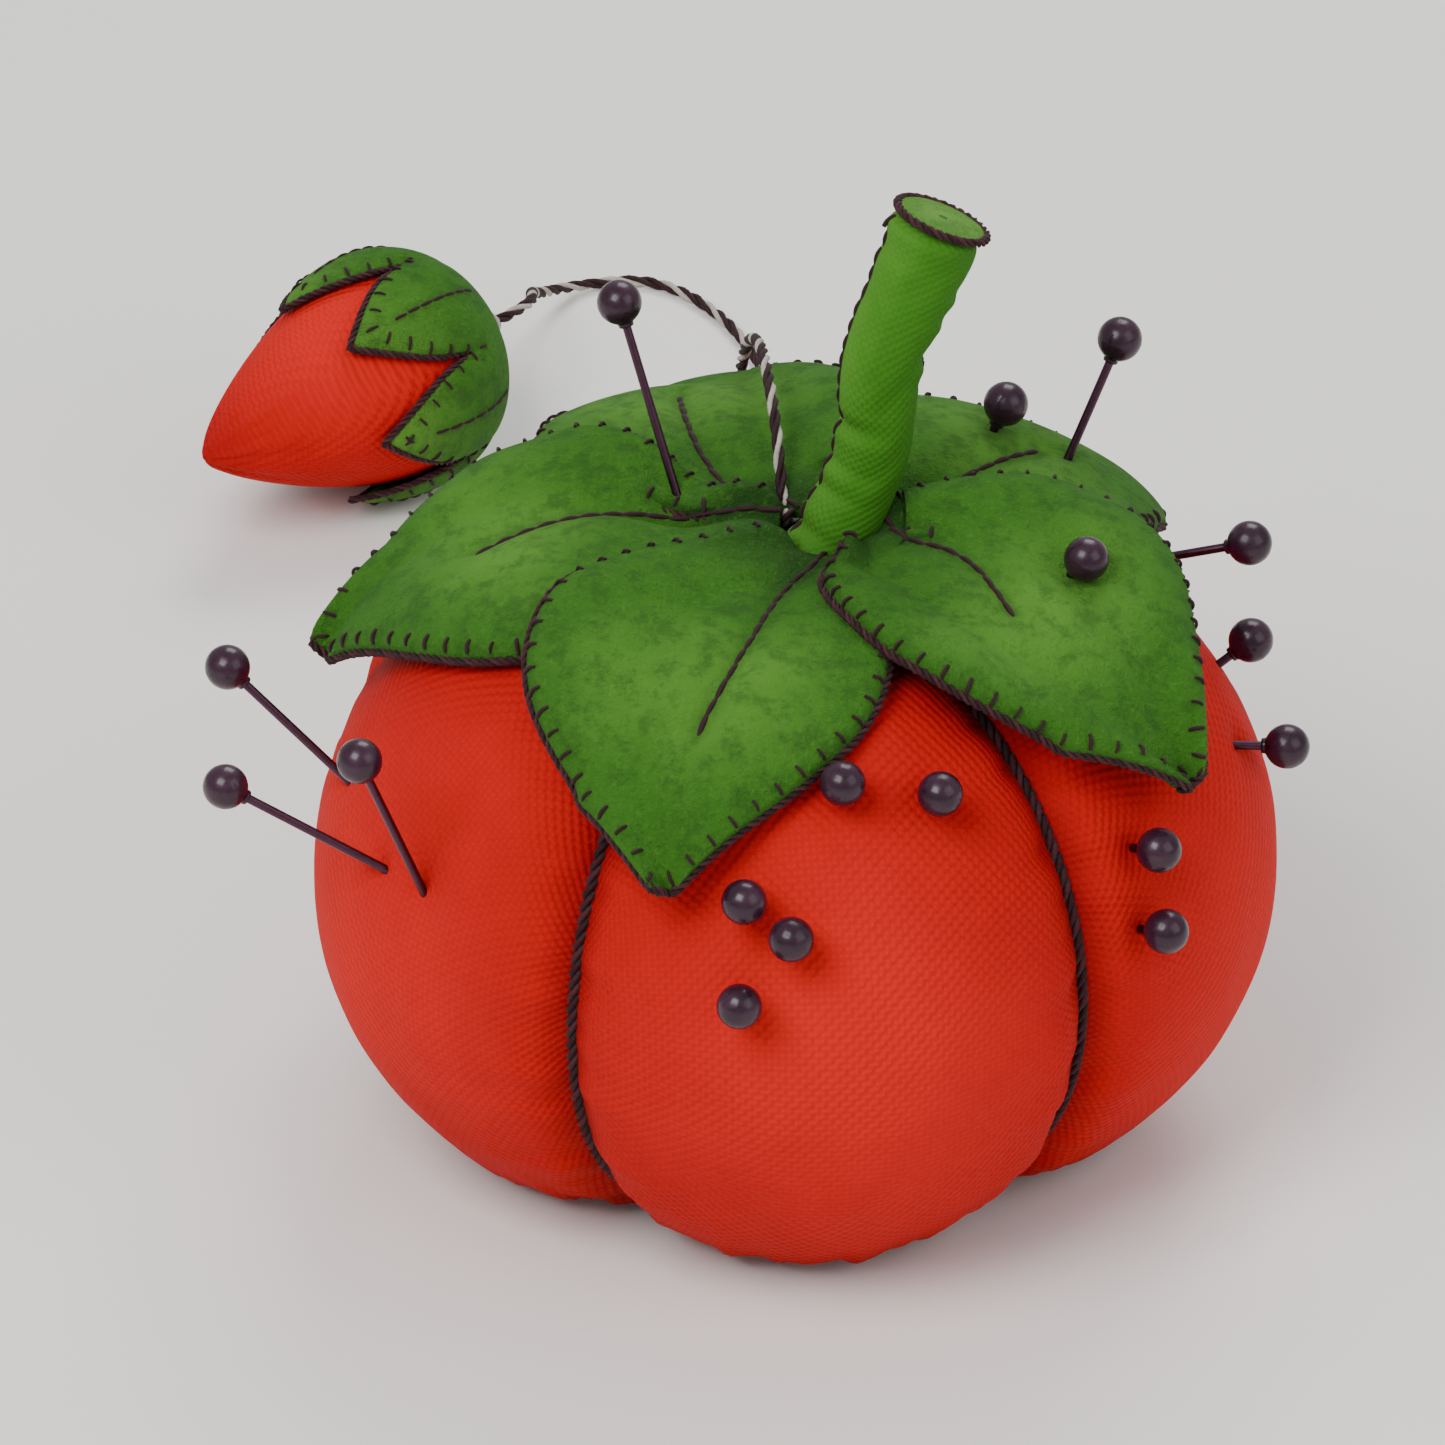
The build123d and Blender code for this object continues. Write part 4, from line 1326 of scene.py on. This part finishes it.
# ---- Pins -----------------------------------------------------------------------------------
def make_pins():
    """Ball heads with a small moulded collar, on the frame's own steel shafts."""
    radius, neck, neck_end = 1.8 * MM, 0.62 * MM, -2.06 * MM
    angles = np.linspace(0.12, math.pi - 0.36, 15)
    profile = [(radius * math.sin(angle), radius * math.cos(angle)) for angle in angles]
    profile += [(neck, -1.74 * MM), (neck, -1.98 * MM), (neck * 0.86, neck_end)]
    turns = np.linspace(0, 2 * math.pi, 28, endpoint=False)
    for name, (head, way) in pin_lines().items():
        side = np.cross(way, (0.3, 0.9, 0.2))
        side = side / np.linalg.norm(side)
        other = np.cross(way, side)
        rings = [
            [head + way * height + (side * math.cos(turn) + other * math.sin(turn)) * reach for turn in turns]
            for reach, height in reversed(profile)
        ]
        points, faces = closed_ring(np.array(rings), head + way * neck_end, head + way * radius)
        piece = smoother(add_mesh(name + "_ball", points, faces, finish_of("pin_head")))
        finished(piece, name, name + "_head", slot="pin_head")
        shaft = frame["nodes"][name + "_shaft"].data
        shaft.materials.clear()
        shaft.materials.append(finish_of("pin_steel"))


# ---- Strawberry -----------------------------------------------------------------------------
EMERY_HEADING = math.radians(42.7)
EMERY_NECK = 1.5 * MM
EMERY_LENGTH = 30 * MM
EMERY_RADIUS = 9.5 * MM
CAP_LEAVES = 6
CAP_VALLEY = 8.2 * MM
CAP_THICKNESS, CAP_PUFF = 0.62 * MM, 0.4 * MM


def emery_ways():
    """The strawberry's own directions: along it to its tip, to its side, and up."""
    along = -np.array((math.cos(EMERY_HEADING), math.sin(EMERY_HEADING), 0))
    return along, np.array((-along[1], along[0], 0)), np.array((0, 0, 1.0))


def emery_profile(along):
    """The strawberry's radius at a distance from its knot."""
    fall = np.clip(1 - 2 * (along - EMERY_NECK) / EMERY_LENGTH, -1, 1)
    return EMERY_RADIUS / 1.1 * np.sqrt(1 - fall**2) * (1 + 0.5 * fall)


def round_emery(along, turn, radius):
    """Points round the strawberry's axis."""
    way, side, up = emery_ways()
    ring = side * np.cos(turn)[..., None] + up * np.sin(turn)[..., None]
    return middle_of("emery_knot") + along[..., None] * way + ring * radius[..., None]


def make_emery():
    """The strawberry: gathered red cloth over emery powder, in a six-leafed felt cap."""
    fall = np.cos(np.linspace(0.12, math.pi - 0.1, 46))
    columns = 72
    turns = np.linspace(0, 2 * math.pi, columns, endpoint=False)
    along = EMERY_NECK + EMERY_LENGTH * (1 - fall) / 2
    radius = emery_profile(along)
    along, turn = np.meshgrid(along, turns, indexing="ij")
    radius = np.repeat(radius[:, None], columns, 1)
    share = (along - EMERY_NECK) / EMERY_LENGTH
    puckers = 0.07 * radius * ripple(turn * 10 * MM, 3.0, 62.8 / 9 * MM)
    puckers = puckers * np.clip((share - 0.45) / 0.5, 0, 1) ** 2
    sides = 0.35 * MM * np.cos(3 * turn) * np.sin(np.clip(share, 0, 1) * math.pi)
    rings = round_emery(along, turn, radius - 0.35 * MM + puckers + sides * 0.6)
    ends = np.array((EMERY_NECK + 0.02 * MM, EMERY_NECK + EMERY_LENGTH))
    points, faces = closed_ring(rings, *round_emery(ends, np.zeros(2), np.zeros(2)))
    piece = add_mesh("strawberry", points, faces, finish_of("emery_cloth"))
    held = np.where((share < 0.3) | (share > 0.93), 1.0, 0.0)
    held = np.where((np.abs(np.sin(1.5 * turn)) < 0.06) & (share > 0.3), 1.0, held)
    inflate(piece, np.append(held.ravel(), (1, 1)), 0.55 * MM)
    # Painted highlight along the upper middle, and painted shade near the tip and near the neck.
    bright = np.append((np.sin(share * math.pi) * (0.5 + 0.5 * np.sin(turn))).ravel(), (0, 0))
    shade = np.clip((share - 0.8) / 0.2, 0, 1) * 0.5 + np.clip(0.45 - share, 0, 1)
    shade = np.append(shade.ravel(), (0.5, 0.5))
    set_number(piece.data, "painted_highlight", bright)
    set_number(piece.data, "crease", shade)
    corners = corner_points(piece.data)
    way, side, up = emery_ways()
    place = points_of(piece.data)[corners] - middle_of("emery_knot")
    set_layout(piece.data, place @ side + place @ up, place @ way)
    smoother(piece)
    finished(piece, "emery", "emery_cover", "emery_grit", slot="emery_cloth")
    make_emery_cap()


def make_emery_cap():
    """The felt cap: six pointed leaves over the strawberry's shoulders."""
    size = sizes()
    per_leaf, rows = 16, 22
    columns = CAP_LEAVES * per_leaf
    turns = np.linspace(0, 2 * math.pi, columns, endpoint=False)
    share = np.abs(from_nearest(turns, 0.0, CAP_LEAVES)) / (math.pi / CAP_LEAVES)
    valley, start = CAP_VALLEY, EMERY_NECK + 0.03 * MM
    end = valley + (size.cap_reach - valley) * np.sqrt(np.clip(1 - share, 0, 1))
    step = np.linspace(0, 1, rows) ** 1.25
    along = start + (end - start)[None, :] * step[:, None]
    turn = np.repeat(turns[None, :], rows, 0)
    radius = emery_profile(along)
    puff = np.sin(step * math.pi)[:, None] * (1 - 0.55 * share[None, :] ** 2)
    lift = 0.35 * MM * step[:, None] ** 3 * (1 - share[None, :])
    outer = round_emery(along, turn, radius + CAP_THICKNESS + CAP_PUFF * puff + lift)
    inner = round_emery(along, turn, radius - 0.05 * MM + lift)
    edge = round_emery(along, turn, radius + 0.3 * MM + lift)
    outer[-1] = edge[-1]
    outer[0] = round_emery(along[0] - 0.35 * MM, turn[0], np.full(columns, 0.3 * MM))
    points = np.vstack((outer.reshape(-1, 3), inner[1:-1].reshape(-1, 3)))
    faces = ring_faces(rows, columns)
    inside = np.arange(rows * columns).reshape(rows, columns)
    inside[1:-1] = rows * columns + np.arange((rows - 2) * columns).reshape(rows - 2, columns)
    for row in range(rows - 1):
        for column in range(columns):
            beside = (column + 1) % columns
            above = (inside[row + 1, column], inside[row + 1, beside])
            faces.append((*above, inside[row, beside], inside[row, column]))
    piece = add_mesh("strawberry_cap", points, faces, finish_of("leaf_felt"))
    # Painted highlight growing towards the points, and painted shade near the knot and along the veins.
    lit = np.repeat(step[:, None], columns, 1) * (1 - 0.5 * share[None, :])
    along_veins = np.exp(-((share * 5) ** 2))[None, :] * (step[:, None] < 0.8)
    painted_shade = 0.7 * np.exp(-step[:, None] / 0.12) + 0.4 * along_veins
    for name, values in (("edge", lit), ("painted_shade", painted_shade)):
        set_number(piece.data, name, np.append(values.ravel(), values[1:-1].ravel()))
    smoother(piece)
    finished(piece, "emery", "emery_cap", slot="leaf_felt")
    line = evened(np.vstack((edge[-1], edge[-1][:1])), 420)
    lay_cord("cap_edge_cord", [(line, normals_beside(piece, line))], CAP_EDGE_LAY, "emery")
    lines = [on_surface(piece, evened(np.vstack((outer[-3], outer[-3][:1])), 300), 0.03 * MM)]
    sew("cap_edge_stitches", lines, CAP_EDGE_STITCH, "emery", 31)
    lines = [on_surface(piece, outer[7:-5, leaf * per_leaf], 0.02 * MM) for leaf in range(CAP_LEAVES)]
    sew("cap_veins", lines, CAP_VEIN_STITCH, "emery", 33)


# ---- Thread ---------------------------------------------------------------------------------
THREAD_ROUTE = tuple((x * MM, y * MM, z * MM) for x, y, z in (
    (-0.5, 4.4, 51.2), (-0.9, 8.6, 55.4), (-1.6, 15.2, 57.0), (-2.3, 23.2, 55.8), (-3.2, 31.2, 51.6),
    (-4.0, 38.4, 43.6), (-4.6, 43.2, 32.0), (-4.7, 45.2, 19.5), (-4.9, 46.2, 8.5), (-5.2, 49.6, 0.6),
    (-5.0, 60.5, 0.6), (-3.0, 73.0, 0.6), (-0.6, 85.5, 0.6), (0.2, 98.0, 0.6), (-1.2, 109.5, 0.6),
    (-4.9, 119.8, 0.6), (-11.0, 126.4, 0.6), (-18.0, 125.0, 0.6), (-21.0, 118.6, 3.6),
    (-21.6, 111.6, 8.0), (-21.18, 105.5, 10.4), (-25.3, 101.7, 10.4),
))
THREAD_TURN = 5.2 * MM
KNOT_SCALE = 0.34


def thread_line():
    """Points along the smooth line that the strawberry's thread follows."""
    curve = bpy.data.curves.new("thread_line", "CURVE")
    curve.dimensions = "3D"
    spline = curve.splines.new("NURBS")
    spline.points.add(len(THREAD_ROUTE) - 1)
    for point, place in zip(spline.points, THREAD_ROUTE):
        point.co = (*place, 1.0)
    spline.order_u = 3
    spline.use_endpoint_u = True
    spline.resolution_u = 12
    line = bpy.data.objects.new("thread_line", curve)
    bpy.context.scene.collection.objects.link(line)
    graph = bpy.context.evaluated_depsgraph_get()
    mesh = bpy.data.meshes.new_from_object(line.evaluated_get(graph), depsgraph=graph)
    points = points_of(mesh)
    bpy.data.meshes.remove(mesh)
    bpy.data.objects.remove(line)
    return points


def make_thread():
    """The two-coloured thread from the stem to the strawberry, knotted at both ends."""
    size = sizes()
    strand = size.thread_diameter * 0.24
    twisted = lay(strand, size.thread_diameter / 2 - strand, THREAD_TURN, 0.4 * MM)
    turn = np.linspace(0, 2 * math.pi, 90)
    across = np.sin(turn) + 2 * np.sin(2 * turn), np.cos(turn) - 2 * np.cos(2 * turn)
    trefoil = np.stack((*across, -1.5 * np.sin(3 * turn)), -1)
    places = (
        ("thread_stem_knot", "stem_knot", np.array(THREAD_ROUTE[0])),
        ("thread_cap_knot", "emery_knot", middle_of("emery_knot")),
    )
    for name, node, middle in places:
        knot = guide_line(name, [(middle + trefoil * KNOT_SCALE * MM, trefoil)])
        knot = grow(knot, plied_cord_tree, "tether_thread", **twisted)
        finished(knot, "cushion", node, slot="tether_thread")
    line = thread_line()
    ups = np.repeat([(0.0, 0.0, 1.0)], len(line), 0)
    thread = guide_line("strawberry_thread", [(line, ups)])
    thread = grow(thread, plied_cord_tree, "tether_thread", **twisted)
    finished(thread, "cushion", "emery_thread", slot="tether_thread")


# ---- Stage ----------------------------------------------------------------------------------
AIM = Vector((-5.3 * MM, 0.0, 34.7 * MM))
VIEW_ELEVATION = math.radians(32)
VIEW_WIDTH = 114 * MM
CAMERA_AWAY = 1.5


def make_camera():
    """Camera in front of the cushion and above it, through a long lens."""
    data = bpy.data.cameras.new("camera")
    data.sensor_width = 36.0
    data.lens = data.sensor_width * CAMERA_AWAY / VIEW_WIDTH
    data.clip_start, data.clip_end = 0.05, 20.0
    camera = bpy.data.objects.new("camera", data)
    camera.location = AIM + Vector(direction(0.0, VIEW_ELEVATION)) * CAMERA_AWAY
    camera.rotation_euler = (math.pi / 2 - VIEW_ELEVATION, 0, 0)
    bpy.context.scene.collection.objects.link(camera)
    bpy.context.scene.camera = camera


def add_light(name, azimuth, elevation, away, width, power):
    """A soft square lamp aimed at the cushion."""
    data = bpy.data.lights.new(name, "AREA")
    data.size = width
    data.energy = power
    lamp = bpy.data.objects.new(name, data)
    ray = Vector(direction(math.radians(azimuth), math.radians(elevation)))
    lamp.location = AIM + ray * away
    lamp.rotation_euler = ray.to_track_quat("Z", "Y").to_euler()
    bpy.context.scene.collection.objects.link(lamp)


def make_stage():
    """Pale floor, a pale room and three soft lamps."""
    floor_size = 2.5
    corners = [(-floor_size, -floor_size, 0), (floor_size, -floor_size, 0)]
    corners += [(floor_size, floor_size, 0), (-floor_size, floor_size, 0)]
    floor = add_mesh("floor", corners, [(0, 1, 2, 3)], floor_finish(tuple(colours().floor)))
    world = bpy.data.worlds.new("pale_room")
    world.use_nodes = True
    world.node_tree.nodes["Background"].inputs["Color"].default_value = (0.95, 0.97, 1.0, 1.0)
    world.node_tree.nodes["Background"].inputs["Strength"].default_value = 0.55
    bpy.context.scene.world = world
    add_light("key_light", -38, 50, 0.75, 0.4, 5.0)
    add_light("fill_light", 58, 34, 0.85, 0.6, 2.0)
    add_light("back_light", 165, 48, 0.8, 0.4, 3.0)


# ---- Add-on ---------------------------------------------------------------------------------
class MakeCamera(bpy.types.Operator):
    """Make the camera"""

    bl_idname = "pin_cushion.make_camera"
    bl_label = "Camera"

    def execute(self, context):
        make_camera()
        return {"FINISHED"}


class MakeThread(bpy.types.Operator):
    """Make the strawberry's thread and its two knots"""

    bl_idname = "pin_cushion.make_thread"
    bl_label = "Thread and knots"

    def execute(self, context):
        make_thread()
        return {"FINISHED"}


class MakeCushion(bpy.types.Operator):
    """Make the stuffed cushion and the thread in its creases"""

    bl_idname = "pin_cushion.make_cushion"
    bl_label = "Cushion"

    def execute(self, context):
        make_cushion()
        make_crease_thread()
        return {"FINISHED"}


class MakeBase(bpy.types.Operator):
    """Make the felt patch underneath"""

    bl_idname = "pin_cushion.make_base"
    bl_label = "Base patch"

    def execute(self, context):
        make_base()
        return {"FINISHED"}


class MakeLeaves(bpy.types.Operator):
    """Make the felt leaves with their veins and edging"""

    bl_idname = "pin_cushion.make_leaves"
    bl_label = "Leaves"

    def execute(self, context):
        for number in range(LEAVES):
            make_leaf(number)
        return {"FINISHED"}


class MakeStem(bpy.types.Operator):
    """Make the stem and its felt end"""

    bl_idname = "pin_cushion.make_stem"
    bl_label = "Stem"

    def execute(self, context):
        make_stem()
        return {"FINISHED"}


class MakePins(bpy.types.Operator):
    """Make the pins' heads and finish their shafts"""

    bl_idname = "pin_cushion.make_pins"
    bl_label = "Pins"

    def execute(self, context):
        make_pins()
        return {"FINISHED"}


class MakeStrawberry(bpy.types.Operator):
    """Make the strawberry emery and its cap"""

    bl_idname = "pin_cushion.make_strawberry"
    bl_label = "Strawberry"

    def execute(self, context):
        make_emery()
        return {"FINISHED"}


class MakeStage(bpy.types.Operator):
    """Make the floor, the room and the lamps"""

    bl_idname = "pin_cushion.make_stage"
    bl_label = "Stage"

    def execute(self, context):
        make_stage()
        return {"FINISHED"}


MAKERS = (
    MakeCamera, MakeThread, MakeCushion, MakeBase, MakeLeaves, MakeStem, MakePins, MakeStrawberry, MakeStage
)


class PinCushionPanel(bpy.types.Panel):
    """Lists what makes the pin cushion"""

    bl_idname = "VIEW3D_PT_pin_cushion"
    bl_label = "Pin cushion"
    bl_space_type = "VIEW_3D"
    bl_region_type = "UI"
    bl_category = "Pin cushion"

    def draw(self, context):
        for maker in MAKERS:
            self.layout.operator(maker.bl_idname)
        for group in (context.scene.pin_cushion_sizes, context.scene.pin_cushion_colours):
            for name in group.__annotations__:
                self.layout.prop(group, name)


CLASSES = (CushionSizes, CushionColours, *MAKERS, PinCushionPanel)


def register():
    """Adds the classes and the scene's settings."""
    for kind in CLASSES:
        bpy.utils.register_class(kind)
    bpy.types.Scene.pin_cushion_sizes = bpy.props.PointerProperty(type=CushionSizes)
    bpy.types.Scene.pin_cushion_colours = bpy.props.PointerProperty(type=CushionColours)


def unregister():
    """Removes the scene's settings and the classes."""
    del bpy.types.Scene.pin_cushion_colours
    del bpy.types.Scene.pin_cushion_sizes
    for kind in reversed(CLASSES):
        bpy.utils.unregister_class(kind)


def main():
    """Makes every piece in order."""
    register()
    for maker in MAKERS:
        group, name = maker.bl_idname.split(".")
        getattr(getattr(bpy.ops, group), name)()


if __name__ == "__main__":
    main()
